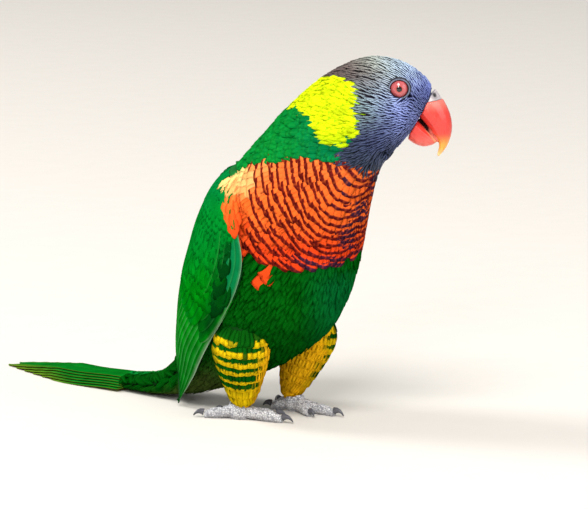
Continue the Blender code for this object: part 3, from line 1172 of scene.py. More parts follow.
VANES = (
    Vane(VaneShape.BROAD, 6, 5, (0.3, 0.8, 1.0, 1.0, 0.82), 0.16, 0.025),
    Vane(VaneShape.RAGGED, 6, 5, (0.3, 0.75, 1.0, 0.95, 0.7), 0.2, 0.07),
    Vane(VaneShape.LANCE, 5, 3, (0.35, 0.8, 1.0, 0.8, 0.3), 0.1, 0.0, 0.6),
    Vane(VaneShape.ROUND, 6, 5, (0.35, 0.85, 1.0, 1.0, 0.72), 0.3, 0.012),
    Vane(VaneShape.BAR, 6, 5, (0.3, 0.7, 0.9, 1.0, 0.95), 0.07, 0.03, 0.06),
    Vane(VaneShape.BAR_LOOSE, 6, 5, (0.3, 0.7, 0.95, 1.0, 0.85), 0.1, 0.045, 0.06),
)


LANCES = (VaneShape.LANCE,)
ROUNDS = (VaneShape.ROUND,)
BARS = (VaneShape.BAR, VaneShape.BAR_LOOSE)
BROADS = (VaneShape.BROAD, VaneShape.RAGGED)
FRAYED = (VaneShape.RAGGED, VaneShape.LANCE)


@dataclass(frozen=True)
class Plume:
    """One kind of small feather: its size, its spacing and how it lies."""

    length: float
    width: float
    step: float
    space: float
    lift: float
    depth: float
    shapes: tuple
    stray: float = 3.0
    spread: float = 0.05
    wave: float = 0.0
    loose: float = 2.5


@dataclass
class Recipe:
    """A tree of geometry nodes that turns a mesh into a finished one, by its named inputs."""

    name: str
    kinds: dict
    graph: Graph = field(init=False)
    sockets: dict = field(init=False)

    def begin(self) -> bpy.types.NodeOutputs:
        """Make the tree with its inputs, and give what they carry.

        Returns:
            The outputs of the tree's input node.
        """
        tree = bpy.data.node_groups.new(self.name, "GeometryNodeTree")
        self.graph, self.sockets = Graph(tree), {}
        for name, kind in self.kinds.items():
            socket = tree.interface.new_socket(name, in_out="INPUT", socket_type=f"NodeSocket{kind}")
            self.sockets[name] = socket.identifier
        tree.interface.new_socket("Made", in_out="OUTPUT", socket_type="NodeSocketGeometry")
        return self.graph.add("NodeGroupInput").outputs

    def end(self, geometry: Socket, finish: Socket) -> None:
        """Give the solid geometry its finish and let it out."""
        final = self.graph.add("GeometryNodeSetMaterial", {"Geometry": geometry, "Material": finish})
        self.graph.add("NodeGroupOutput", {0: final.outputs[0]})

    def scaled(self, way: Socket, size: Socket) -> Socket:
        """A vector at a multiple of its length."""
        return self.graph.add("ShaderNodeVectorMath", {0: way, "Scale": size}, operation="SCALE").outputs[0]

    def named(self, name: str, kind: str) -> Socket:
        """The value of an attribute inside the tree."""
        node = self.graph.add("GeometryNodeInputNamedAttribute", {"Name": name}, data_type=kind)
        return [socket for socket in node.outputs if socket.enabled and socket.name == "Attribute"][0]

    def apply(self, made: Piece, values: dict) -> Piece:
        """A piece as the tree makes it, as a plain mesh.

        Args:
            made: The piece, which is used up.
            values: The inputs' values by their names.

        Returns:
            The new piece, with the same name.
        """
        name = made.name
        modifier = made.modifiers.new(self.name, "NODES")
        modifier.node_group = self.graph.tree
        for wanted, value in values.items():
            modifier[self.sockets[wanted]] = value
        return evaluated(made, name)


def coat_recipe(vanes: list) -> Recipe:
    """The tree that sets a vane on every root, turned and sized as the root says.

    Args:
        vanes: One object for each of the vane shapes.

    Returns:
        The recipe, whose inputs are the finish, the unwrap's patch, the stray and the seed.
    """
    kinds = {"Roots": "Geometry", "Finish": "Material", "Patch": "Float", "Stray": "Float", "Seed": "Int"}
    recipe = Recipe("coat", kinds)
    given = recipe.begin()
    graph = recipe.graph
    join = graph.add("GeometryNodeJoinGeometry")
    for vane in reversed(vanes):
        info = graph.add("GeometryNodeObjectInfo", {"Object": vane, "As Instance": True})
        graph.tree.links.new(info.outputs["Geometry"], join.inputs[0])
    least = graph.sums("MULTIPLY", given["Stray"], -1.0)
    ends = [graph.add("ShaderNodeCombineXYZ", {0: x, 1: x, 2: x}).outputs[0] for x in (least, given["Stray"])]
    limits = {"Min": ends[0], "Max": ends[1], "Seed": given["Seed"]}
    chance = graph.add("FunctionNodeRandomValue", limits, data_type="FLOAT_VECTOR").outputs["Value"]
    loose = graph.add("FunctionNodeEulerToRotation", {0: chance}).outputs[0]
    turns = {0: recipe.named("turn", "QUATERNION"), 1: loose}
    placed = graph.add("GeometryNodeInstanceOnPoints", {
        "Points": given["Roots"],
        "Instance": join.outputs[0],
        "Pick Instance": True,
        "Instance Index": recipe.named("shape", "INT"),
        "Rotation": graph.add("FunctionNodeRotateRotation", turns, rotation_space="LOCAL").outputs[0],
        "Scale": recipe.named("size", "FLOAT_VECTOR"),
    })
    real = graph.add("GeometryNodeRealizeInstances", {0: placed.outputs[0]})
    part = recipe.scaled(recipe.named("vane", "FLOAT_VECTOR"), graph.sums("MULTIPLY", given["Patch"], 0.5))
    seat = {0: recipe.named("root_spot", "FLOAT_VECTOR"), 1: part}
    spot = graph.add("ShaderNodeVectorMath", seat, operation="ADD").outputs[0]
    inputs = {"Geometry": real.outputs[0], "Name": "OFBake"}
    stored = graph.add("GeometryNodeStoreNamedAttribute", inputs, data_type="FLOAT2", domain="CORNER")
    value = [socket for socket in stored.inputs if socket.name == "Value" and socket.enabled][0]
    graph.tree.links.new(spot, value)
    recipe.end(stored.outputs[0], given["Finish"])
    return recipe


def scale_recipe() -> Recipe:
    """The tree that raises small rounded scales on a skin, so many to a metre and so high.

    Returns:
        The recipe, ready to apply.
    """
    recipe = Recipe("scales", {"Skin": "Geometry", "Finish": "Material", "Cells": "Float", "Height": "Float"})
    given = recipe.begin()
    graph = recipe.graph
    place = graph.add("GeometryNodeInputPosition").outputs[0]
    inputs = {"Vector": place, "Scale": given["Cells"], "Randomness": 0.8}
    edge = graph.add("ShaderNodeTexVoronoi", inputs, feature="DISTANCE_TO_EDGE").outputs["Distance"]
    raised = graph.sums("MULTIPLY", graph.ramp(edge, 0.0, 0.22), given["Height"])
    way = recipe.scaled(graph.add("GeometryNodeInputNormal").outputs[0], raised)
    moved = graph.add("GeometryNodeSetPosition", {"Geometry": given["Skin"], "Offset": way})
    recipe.end(graph.add("GeometryNodeRealizeInstances", {0: moved.outputs[0]}).outputs[0], given["Finish"])
    return recipe


def painted(inner: Array, outer: Array, shaft: Array, cover: float | Array, band: float | Array) -> dict:
    """The paint of feathers, with one row for each.

    Args:
        inner: The vanes' colours below the tip's band.
        outer: The vanes' colours in it.
        shaft: The shafts' colours.
        cover: How strongly the shafts show, from 0 to 1.
        band: Where the band starts, as a share of the vane's length.

    Returns:
        The inner, outer and shaft colours, and the bands.
    """
    cover = np.broadcast_to(cover, len(inner))[:, None]
    shaft = np.concatenate([shaft, cover], axis=1)
    return {"inner": inner, "outer": outer, "shaft": shaft, "band": np.broadcast_to(band, len(inner))}


@dataclass
class Coat:
    """One piece of plumage: many small feathers, gathered and then made together."""

    name: str
    slot: str
    patch: float = 0.003
    gathered: dict = field(default_factory=dict)

    def add(self, laid: dict, keep: Array, paint: dict) -> None:
        """Take on the feathers that are kept.

        Args:
            laid: The feathers' places and turns, from lay().
            keep: Which of them are wanted.
            paint: Their inner, outer and shaft colours and where the tip's band starts.
        """
        for name in ("root", "turn", "size", "shape", "spot"):
            self.gathered.setdefault(name, []).append(laid[name][keep])
        for name, part in paint.items():
            self.gathered.setdefault(name, []).append(part[keep])

    def build(self, recipe: Recipe, material: Material, stray: float) -> Piece:
        """The finished piece.

        Args:
            recipe: The node tree that sets the vanes.
            material: The plumage's finish.
            stray: How far a feather may turn at random, in degrees.

        Returns:
            The piece, as a plain mesh with its finish.
        """
        parts = {name: np.concatenate(found) for name, found in self.gathered.items()}
        made = mesh_object(self.name, parts["root"], [])
        low, high = parts["spot"].min(axis=0), parts["spot"].max(axis=0)
        spots = 0.01 + 0.98 * (parts["spot"] - low) / np.maximum(high - low, 1e-6)
        spots = np.concatenate([spots, np.zeros((len(spots), 1))], axis=1)
        store(made.data, "turn", "QUATERNION", parts["turn"])
        store(made.data, "size", "FLOAT_VECTOR", parts["size"])
        store(made.data, "root_spot", "FLOAT_VECTOR", spots)
        store(made.data, "shape", "INT", parts["shape"])
        store(made.data, "band", "FLOAT", parts["band"])
        for name in ("inner", "outer", "shaft"):
            set_colours(made.data, name, parts[name])
        values = {"Finish": material, "Patch": self.patch, "Stray": math.radians(stray), "Seed": SEED}
        return dress(recipe.apply(made, values), material, self.slot)


def quaternions(across: Array, along: Array, normal: Array) -> Array:
    """Rotations that take X, Y and Z to three square directions, as w, x, y, z.

    Args:
        across: Where each rotation takes X.
        along: Where it takes Y.
        normal: Where it takes Z.

    Returns:
        One row of four for each rotation.
    """
    rows = np.stack([across, along, normal], axis=2)
    trace = rows[:, 0, 0] + rows[:, 1, 1] + rows[:, 2, 2]
    choices = np.stack([trace, rows[:, 0, 0], rows[:, 1, 1], rows[:, 2, 2]], axis=1)
    best = choices.argmax(axis=1)
    made = np.zeros((len(rows), 4))
    for index, (matrix, pick) in enumerate(zip(rows, best)):
        if pick == 0:
            made[index] = (
                1 + trace[index],
                matrix[2, 1] - matrix[1, 2],
                matrix[0, 2] - matrix[2, 0],
                matrix[1, 0] - matrix[0, 1],
            )
        else:
            i = pick - 1
            j, k = (i + 1) % 3, (i + 2) % 3
            made[index, 0] = matrix[k, j] - matrix[j, k]
            made[index, 1 + i] = 1 + matrix[i, i] - matrix[j, j] - matrix[k, k]
            made[index, 1 + j] = matrix[j, i] + matrix[i, j]
            made[index, 1 + k] = matrix[k, i] + matrix[i, k]
    return unit(made)


def lay(
    shell: Shell, line: Array, place: Array, plume: Plume, rng: Rng, steer: object = None, sunk: object = 0.0
) -> dict:
    """Lay feathers on a shell, each along the lie of the coat.

    Args:
        shell: The surface that the tips reach.
        line: Fractional lines of the roots.
        place: Fractional places of the roots.
        plume: The kind of feather.
        rng: What varies their sizes and turns.
        steer: A function that turns the lie at given points, or nothing.
        sunk: Millimetres that each root lies deeper than the plume's own depth.

    Returns:
        Roots, turns, sizes, shapes and spots, and the middles and tips with their lines and places.
    """
    count = len(line)
    scale = 1 + rng.normal(0, plume.spread, (count, 1))
    start, up = shell.read(shell.points, line, place), unit(shell.read(shell.normals, line, place))
    half_line, half_place, spot = line, place, start
    half = plume.length * MM * 0.5 * scale
    ends = []
    for _ in range(2):
        way = unit(shell.read(shell.flow, half_line, half_place))
        if steer is not None:
            way = steer(spot, way)
        normal = unit(shell.read(shell.normals, half_line, half_place))
        turn = np.radians(rng.normal(0, plume.stray, (count, 1)))
        way = way * np.cos(turn) + np.cross(normal, way) * np.sin(turn)
        half_line, half_place = shell.walk(half_line, half_place, way * half)
        spot = shell.read(shell.points, half_line, half_place)
        ends.append((half_line, half_place, spot, unit(shell.read(shell.normals, half_line, half_place))))
    (_, _, middle, middle_up), (tip_line, tip_place, tip, tip_up) = ends
    depth = (plume.depth + np.zeros(count) + sunk)[:, None]
    root = start - up * depth * MM
    end = tip + tip_up * (plume.lift + rng.normal(0, 2.4 * plume.spread, (count, 1)) * plume.lift) * MM
    chord = end - root
    length = np.linalg.norm(chord, axis=1, keepdims=True)
    along = chord / np.maximum(length, 1e-9)
    normal = unit(middle_up - along * np.sum(middle_up * along, axis=1, keepdims=True))
    across = np.cross(along, normal)
    wanted = middle + middle_up * (plume.lift * 0.5 - depth * 0.25) * MM
    bulge = np.sum((wanted - (root + end) / 2) * normal, axis=1, keepdims=True)
    width = plume.width * MM * (1 + rng.normal(0, 0.06, (count, 1)))
    size = np.concatenate([width, length, np.clip(bulge * 2, 0.12 * MM, 2.4 * MM)], axis=1)
    shapes = np.array([shape.value for shape in plume.shapes])[rng.integers(0, len(plume.shapes), count)]
    lines = len(shell.points)
    seat = np.stack([np.mod(line, lines) / lines, place / shell.points.shape[1]], axis=1)
    return {
        "root": root,
        "turn": quaternions(across, along, normal),
        "size": size,
        "shape": shapes,
        "spot": seat,
        "middle": middle,
        "tip": tip,
        "line": tip_line * 0.7 + line * 0.3,
        "place": tip_place * 0.7 + place * 0.3,
        "tip_line": tip_line,
        "tip_place": tip_place,
        "length": length[:, 0],
    }


# ---------------------------------------------------------------- markings


def under(curve: tuple, across: Array, up: Array) -> Array:
    """Whether spots on the elevation are below a curve of (across, up) points."""
    rows = np.array(curve)
    return up < np.interp(across, rows[:, 0], rows[:, 1])


def within(outline: tuple, across: Array, up: Array) -> Array:
    """Whether spots on the elevation are inside an outline of (across, up) points.

    Args:
        outline: The outline's points, in order.
        across: The places across the elevation, in millimetres.
        up: The heights on it, in millimetres.

    Returns:
        True for each spot inside.
    """
    found = np.zeros(np.shape(across), bool)
    last = outline[-1]
    for point in outline:
        (x0, y0), (x1, y1) = last, point
        crosses = (y0 > up) != (y1 > up)
        with np.errstate(divide="ignore", invalid="ignore"):
            side = (x1 - x0) * (up - y0) / (y1 - y0 if y1 != y0 else 1e-9) + x0
        found ^= crosses & (across < side)
        last = point
    return found


class Region(Enum):
    """The body's fields of colour."""

    HOOD = 0
    COLLAR = 1
    MANTLE = 2
    BREAST = 3
    BELLY = 4


@dataclass(frozen=True)
class Field:
    """A soft spot of colour on the elevation: the vane's colour and its streak's."""

    across: float
    up: float
    tone: Tone
    streak: Tone
    strength: float
    spread: float = 4.5


@dataclass(frozen=True)
class Markings:
    """Where the bird's colours are, drawn on the three-quarter elevation in millimetres."""

    collar: tuple = (
        (-38.6, -8), (-46, -4), (-36, 9), (-29.8, 4.4), (-25.4, 4.7), (-20.4, 3.1), (-17.4, 0.6),
        (-17.2, -4.2), (-17.4, -9.7), (-16.5, -13.2), (-16, -16.7), (-18.2, -19.4), (-20.6, -18.4),
        (-21.6, -22.6), (-25.8, -22), (-29.2, -20.1), (-31.4, -17.5), (-33.1, -13.3), (-35.2, -10.8),
    )
    hood_rear: tuple = (
        (-50, 30), (-40, 9), (-30, 5), (-26, 3), (-17, -14), (-17.5, -20), (-24.5, -25.2),
    )
    breast_top: tuple = (
        (-66, -36), (-62.2, -32.8), (-59.5, -29.7), (-56, -26.8), (-52, -25.6), (-41.2, -24.6),
        (-35.6, -24.4), (-30, -25), (-24.3, -26.3), (-18.6, -27.8), (-14, -30), (-10, -31.4), (-4, -34),
    )
    breast_foot: tuple = (
        (-64, -60), (-58.5, -65.2), (-56, -67), (-52.2, -68.4), (-48.2, -68), (-44.1, -69.6),
        (-37.6, -70.5), (-29.7, -69.7), (-22.1, -68.2), (-17.3, -66), (-15, -63.7), (-8, -60),
    )
    shoulder: tuple = (
        (-69.5, -36.5), (-66.5, -32), (-64.6, -29.7), (-58, -30.7), (-57.4, -56), (-58.9, -57.9),
        (-61.2, -57.9), (-63.8, -54.5), (-66.1, -48.8), (-66.9, -45.4), (-65.4, -44.2), (-63.5, -44.6),
        (-64, -42.3), (-65.8, -39.5), (-68, -37.9),
    )
    wing_fold: tuple = (
        (-58.9, -55.2), (-57.8, -61.5), (-58.8, -69), (-60.4, -74.6), (-62.6, -78.6), (-66.4, -84),
        (-69.8, -83), (-67.6, -75.6), (-66.6, -68.8), (-65.6, -61), (-62.8, -57.4),
    )
    # A line of painted shade: the dark cleft behind the wing's fold, and its half width below.
    wing_cleft_shade: tuple = ((-65, -58), (-66.4, -66), (-67.6, -75), (-69.6, -83), (-73, -91), (-77, -100))
    cleft_shade_half: float = 2.9
    flank_spots: tuple = ((-53.2, -72.6, 2.6), (-56.0, -71.0, 1.6), (-51.2, -70.6, 1.6), (-55.4, -75.4, 1.2))
    hood: tuple = (
        Field(13, 2, Tone.FOREHEAD, Tone.STREAK_BLUE, 0.55),
        # The forehead's top and the crown take their pale streaks at near full strength, as painted highlight
        # of the sun on the top of the head.
        Field(7.5, 7, Tone.FOREHEAD, Tone.STREAK_SKY, 0.95),
        Field(0, 9.5, Tone.CROWN, Tone.STREAK_SKY, 0.95),
        Field(-10, 10.5, Tone.CROWN, Tone.STREAK_PALE, 0.85),
        Field(-20, 8.5, Tone.OCCIPUT, Tone.STREAK_BROWN, 0.55),
        Field(-28, 5, Tone.OCCIPUT, Tone.STREAK_BROWN, 0.5),
        Field(-13, 3, Tone.OCCIPUT, Tone.STREAK_BROWN, 0.6),
        Field(-15, -5, Tone.OCCIPUT, Tone.STREAK_TEAL, 0.6),
        Field(-8.5, -2.5, Tone.LORE, Tone.STREAK_SKY, 0.9),
        Field(-12, -11, Tone.OCCIPUT, Tone.STREAK_TEAL, 0.6),
        Field(-4, -8.5, Tone.CHEEK, Tone.STREAK_BLUE, 0.95),
        Field(2, -13, Tone.CHEEK, Tone.STREAK_BLUE, 0.9),
        Field(7, -3, Tone.LORE, Tone.STREAK_BLUE, 0.35, 3.5),
        Field(-9, -18, Tone.CHEEK, Tone.STREAK_SLATE, 0.35),
        Field(-3, -21, Tone.THROAT, Tone.STREAK_BLUE, 0.4),
        Field(-15, -24, Tone.THROAT, Tone.STREAK_SLATE, 0.35),
        Field(-8, -29, Tone.THROAT, Tone.STREAK_SLATE, 0.25),
    )

    def region(self, across: Array, up: Array, turn: Array) -> Array:
        """The region of each spot.

        Args:
            across: Millimetres across the elevation.
            up: Millimetres up it.
            turn: Degrees from the middle of the back, on either side.

        Returns:
            The value of a Region for each spot.
        """
        found = np.full(np.shape(across), Region.MANTLE.value)
        rear = np.array(self.hood_rear)
        hood = across > np.interp(-up, -rear[:, 1], rear[:, 0])
        low = under(self.breast_top, across, up)
        found[hood & ~low] = Region.HOOD.value
        found[within(self.collar, across, up)] = Region.COLLAR.value
        found[low & (turn > 52)] = Region.BREAST.value
        found[under(self.breast_foot, across, up) & (turn > 48)] = Region.BELLY.value
        for x, y, size in self.flank_spots:
            found[(np.hypot(across - x, (up - y) * 1.2) < size) & (turn > 60)] = Region.BREAST.value
        return found

    def paint_hood(self, across: Array, up: Array) -> dict:
        """The colours of the hood's feathers: dark vanes with pale streaks down their middles.

        Args:
            across: The places across the elevation, in millimetres.
            up: The heights on it, in millimetres.

        Returns:
            What painted gives for these places.
        """
        weights = []
        for spot in self.hood:
            apart = (across - spot.across) ** 2 + (up - spot.up) ** 2
            weights.append(np.exp(-apart / (2 * spot.spread**2)) + 1e-9)
        weights = np.stack(weights, axis=1)
        weights /= weights.sum(axis=1, keepdims=True)
        vane = weights @ np.array([f.tone.linear for f in self.hood])
        streak = weights @ np.array([f.streak.linear for f in self.hood])
        strength = weights @ np.array([f.strength for f in self.hood])
        return painted(vane * 0.7, vane * 0.55, streak, strength, 0.85)

    def paint_breast(self, across: Array, up: Array, rng: Rng) -> dict:
        """Orange vanes, paler by the shoulder and redder below, with dark ends that make bars.

        Args:
            across: The places across the elevation, in millimetres.
            up: The heights on it, in millimetres.
            rng: The random source.

        Returns:
            What painted gives for these places.
        """
        count = len(across)
        pale = eased(-44, -58, across - 0.5 * (up + 30)) * eased(-52, -34, up)
        red = eased(-50, -66, up)
        vane = blend(Tone.ORANGE, Tone.APRICOT, np.clip(pale + 0.35 * eased(-46, -28, up), 0, 1))
        vane = blend(vane, Tone.VERMILION, red * 0.85)
        ink = eased(-30, -18, across) * (0.25 + 0.75 * (np.sin(across * 0.55) * np.cos(up * 0.33) > 0.1))
        ink = np.maximum(ink, eased(-62, -67, up) * eased(-44, -34, across))
        end = blend(Tone.MAROON, Tone.INK, ink * 0.8)
        band = 0.86 + rng.normal(0, 0.006, count) - 0.04 * ink
        lobe = within(self.shoulder, across, up) | ((across < -48.0) & (up < -69.3))
        below = np.where(across < -60.0, up, np.minimum(up, -39.0))
        vane = np.where(lobe[:, None], self.paint_shoulder(below), vane)
        band = np.where(lobe, 1.3, band)
        return painted(vane, end, vane * 1.1, 0.2, band)

    def paint_wing(self, across: Array, up: Array) -> Array:
        """The wing's greens: blue-green at the shoulder and the fold in front, leaf green lower down, with
        painted shade in the cleft behind the fold and toward the wing's foot, and streaks of painted sheen.

        Args:
            across: The places across the elevation, in millimetres.
            up: The heights on it, in millimetres.

        Returns:
            One colour for each place.
        """
        vane = blend(Tone.WING, Tone.WING_LEAF, eased(-56, -80, up))
        vane = blend(vane, Tone.MANTLE_TEAL, 0.5 * eased(-50, -36, up))
        cleft = np.array(self.wing_cleft_shade)
        off = (across - np.interp(-up, -cleft[:, 1], cleft[:, 0])) / self.cleft_shade_half
        shade = np.exp(-off * off) * eased(-56, -64, up) * eased(-98, -90, up)
        vane = blend(vane, Tone.WING_SHADE, np.maximum(0.92 * shade, 0.3 * eased(-92, -106, up)))
        # Painted sheen: lighter and darker streaks along the lower wing.
        vane = vane * (1 + 0.16 * np.sin(across * 1.9 + up * 0.42) * eased(-58, -70, up))[:, None]
        fold = within(self.wing_fold, across, up)
        return blend(vane, Tone.WING_TEAL, 0.9 * fold)

    @staticmethod
    def paint_shoulder(up: Array) -> Array:
        """Cream at the top of the shoulder, orange and then red toward the foot of its patch."""
        warm = blend(Tone.ORANGE, Tone.CREAM, eased(-46, -34.5, up))
        return blend(warm, Tone.VERMILION, eased(-46, -56, up) * 0.7)

    def paint(
        self, region: Region, across: Array, up: Array, turn: Array, reach: Array, rng: Rng
    ) -> dict:
        """The colours of feathers in one region.

        Args:
            region: Where they are.
            across: Millimetres across the elevation.
            up: Millimetres up it.
            turn: Degrees from the middle of the back.
            reach: Millimetres from the bill.
            rng: What varies them.

        Returns:
            Inner, outer and shaft colours, and where the tip's band starts.
        """
        count = len(across)
        if region is Region.HOOD:
            made = self.paint_hood(across, up)
        elif region is Region.BREAST:
            made = self.paint_breast(across, up, rng)
        elif region is Region.COLLAR:
            # Painted shade: the collar's lower part is blended toward a darker yellow-green.
            low = eased(-14, -22, up)
            vane = blend(Tone.COLLAR, Tone.COLLAR_DEEP, 0.6 * low)
            made = self._plain(np.tile(Tone.COLLAR_SHADE.linear, (count, 1)), vane, 0.5, 0.1)
        elif region is Region.MANTLE:
            teal = eased(-46, -26, across) * eased(-4, -14, up) + 0.25 * rng.random(count)
            vane = blend(Tone.MANTLE, Tone.MANTLE_TEAL, np.clip(teal, 0, 1))
            edge = blend(vane, Tone.MANTLE_EDGE, np.full(count, 0.3))
            made = self._plain(vane, edge, 0.84, 0.12)
        else:
            # Painted sheen: teal on the front of the belly. Painted shade: darker toward the lower belly.
            teal = eased(-40, -22, across) * eased(-66, -76, up)
            dark = 0.55 * eased(-84, -100, up)
            vane = blend(Tone.BELLY, Tone.BELLY_TEAL, teal * 0.8)
            vane = blend(vane, Tone.BELLY_DARK, dark)
            vane = blend(vane, Tone.VENT, eased(138, 160, reach) * eased(100, 130, turn))
            made = self._plain(vane * 0.96, vane * 1.05, 0.7, 0.1)
        light = 1 + rng.normal(0, 0.03 if region is Region.BREAST else 0.07, (count, 1))
        made["inner"] = np.clip(made["inner"] * light, 0, 1)
        made["outer"] = np.clip(made["outer"] * light, 0, 1)
        return made

    @staticmethod
    def _plain(inner: Array, outer: Array, band: float, cover: float) -> dict:
        """Colours of feathers whose shafts are a little lighter than their vanes."""
        return painted(inner, outer, np.clip(outer * 1.5 + 0.02, 0, 1), cover, band)


# ---------------------------------------------------------------- the body's plumage


def enclosed(tree: BVHTree, point: Vector) -> bool:
    """Whether a point is inside closed solids, by the walls that a ray from it passes.

    Args:
        tree: The surface of the closed solids.
        point: The place to test.

    Returns:
        True when the point is inside.
    """
    way = Vector((0.31, 0.17, 0.935)).normalized()
    walls = 0
    place, _, _, _ = tree.ray_cast(point, way)
    while place is not None:
        walls += 1
        place, _, _, _ = tree.ray_cast(place + way * 1e-6, way)
    return walls % 2 == 1


def buried(tree: BVHTree, points: Array) -> Array:
    """How deep points lie inside closed solids, in metres, with less than nothing for outside.

    Args:
        tree: The surface of the closed solids.
        points: Places in metres.

    Returns:
        One depth for each point.
    """
    depths = np.zeros(len(points))
    for index, point in enumerate(points):
        spot = Vector(point)
        place, normal, _, apart = tree.find_nearest(spot)
        inside = (place - spot).dot(normal) > 0 and enclosed(tree, spot)
        depths[index] = apart if inside else -apart
    return depths


@dataclass
class BodyPlumage:
    """The small feathers of the head, neck, breast, belly and back."""

    body: BodyMap
    markings: Markings
    eye_clear: float = 3.55
    root_clear: float = 3.2
    border_sunk: float = 2.5
    longest: float = 1.4
    slack: dict = field(default_factory=lambda: {"bill": -0.1, "thigh": 1.5, "wing": 0.8})
    hems: dict = field(default_factory=lambda: {Region.HOOD: 2.0, Region.MANTLE: 2.2, Region.BREAST: 1.3})
    plumes: dict = field(default_factory=lambda: {
        "face": (Region.HOOD, 1.2, 10.5, Plume(2.7, 0.85, 0.8, 0.62, 0.15, 0.55, LANCES, 5)),
        "cheek": (Region.HOOD, 10.5, 26, Plume(4, 1.2, 1.3, 0.95, 0.2, 0.7, LANCES, 5)),
        "hood": (Region.HOOD, 26, 90, Plume(5.2, 1.4, 1.7, 1.15, 0.2, 0.8, LANCES, 5)),
        "collar": (Region.COLLAR, 20, 100, Plume(6.8, 2.5, 1.9, 1.4, 0.24, 0.7, FRAYED, 4)),
        "mantle": (Region.MANTLE, 24, 250, Plume(7, 3.4, 2.3, 1.8, 0.26, 0.6, BROADS, 3)),
        "breast": (Region.BREAST, 26.6, 120, Plume(8.6, 5.6, 3.7, 1.9, 0.2, 1.2, BARS, 1, 0.02, 0.6, 0.35)),
        "belly": (Region.BELLY, 66, 260, Plume(8.5, 2.6, 2.2, 1.5, 0.05, 0.9, FRAYED, 6)),
    })

    def build(self, recipe: Recipe, finishes: dict) -> list:
        """Make the coat, one piece for each kind of feather.

        Args:
            recipe: The node tree that sets the vanes.
            finishes: Materials by the names of their finishes.

        Returns:
            The finished pieces.
        """
        shell = self.body.shell
        obstacles = [(tree_of(("bill_upper", "bill_lower", "cere")), self.slack["bill"])]
        for part, nodes in (("thigh", ("thigh",)), ("wing", WING_NODES)):
            obstacles += [(tree_of([f"{node}_{word}" for node in nodes]), self.slack[part]) for word in SIDES]
        slots = {
            Region.HOOD: "plumage_blue", Region.COLLAR: "plumage_yellow", Region.BREAST: "plumage_orange",
            Region.MANTLE: "plumage_green", Region.BELLY: "plumage_green",
        }
        pieces = []
        for number, (name, (region, low, high, plume)) in enumerate(self.plumes.items()):
            rng = np.random.default_rng(SEED + number)
            line, place, _ = shell.rows(low, high, plume.step, plume.space, rng, plume.wave)
            begun = shell.read(self.body.drawn, line, place)
            turn = shell.around(line)
            border = 2 * self.hems.get(region, 0.0) * eased(-59, -55, begun[:, 0])
            outside = self.markings.region(begun[:, 0], begun[:, 1] + border, turn) != region.value
            sunk = self.border_sunk * outside * (region is Region.BREAST)
            laid = lay(shell, line, place, plume, rng, self._round_eyes, sunk)
            drawn = shell.read(self.body.drawn, laid["line"], laid["place"])
            drawn = drawn + rng.normal(0, 0.35, (len(line), 2))
            turn = shell.around(laid["line"])
            hem = self.hems.get(region, 0.0) * eased(-59, -55, drawn[:, 0])
            if region is Region.BREAST:
                drawn = shell.read(self.body.drawn, laid["tip_line"], laid["tip_place"])
                drawn = drawn + rng.normal(0, 0.2, (len(line), 2))
            here = self.markings.region(drawn[:, 0], drawn[:, 1], turn)
            above = self.markings.region(drawn[:, 0], drawn[:, 1] + hem, turn) == region.value
            keep = here == region.value
            if region is Region.BREAST:
                keep &= above
            else:
                keep |= above & (here == Region.BREAST.value)
            reach = shell.read(shell.reach, line, place) / MM
            for spot in ("root", "middle", "tip"):
                clear = self.root_clear if spot == "root" else self.eye_clear
                for side in (1, -1):
                    keep &= self.body.head.from_eye(laid[spot], side)[0] > clear
            keep &= laid["length"] < self.longest * plume.length * MM
            chosen = np.flatnonzero(keep)
            for obstacle, slack in obstacles:
                deep = buried(obstacle, laid["tip"][chosen])
                chosen = chosen[deep < slack * MM]
            keep = np.zeros(len(line), bool)
            keep[chosen] = True
            paint = self.markings.paint(region, drawn[:, 0], drawn[:, 1], turn, reach, rng)
            coat = Coat(f"coat_{name}", slots[region])
            coat.add(laid, keep, paint)
            finish = finishes["plumage_fine" if region is Region.HOOD else "plumage_soft"]
            pieces.append(coat.build(recipe, finish, plume.loose))
        return pieces

    def _round_eyes(self, spots: Array, ways: Array) -> Array:
        """Turn the lie of the feathers round the eyes.

        Args:
            spots: Places on the body, in metres.
            ways: The lie of the feathers there.

        Returns:
            The lie, turned where it would point into an eye.
        """
        turned = ways
        for side in (1, -1):
            apart, outward = self.body.head.from_eye(spots, side)
            toward = np.minimum(np.sum(turned * outward, axis=1), 0.0) * 1.05 * eased(9.5, 5, apart)
            turned = unit(turned - outward * toward[:, None])
        return turned


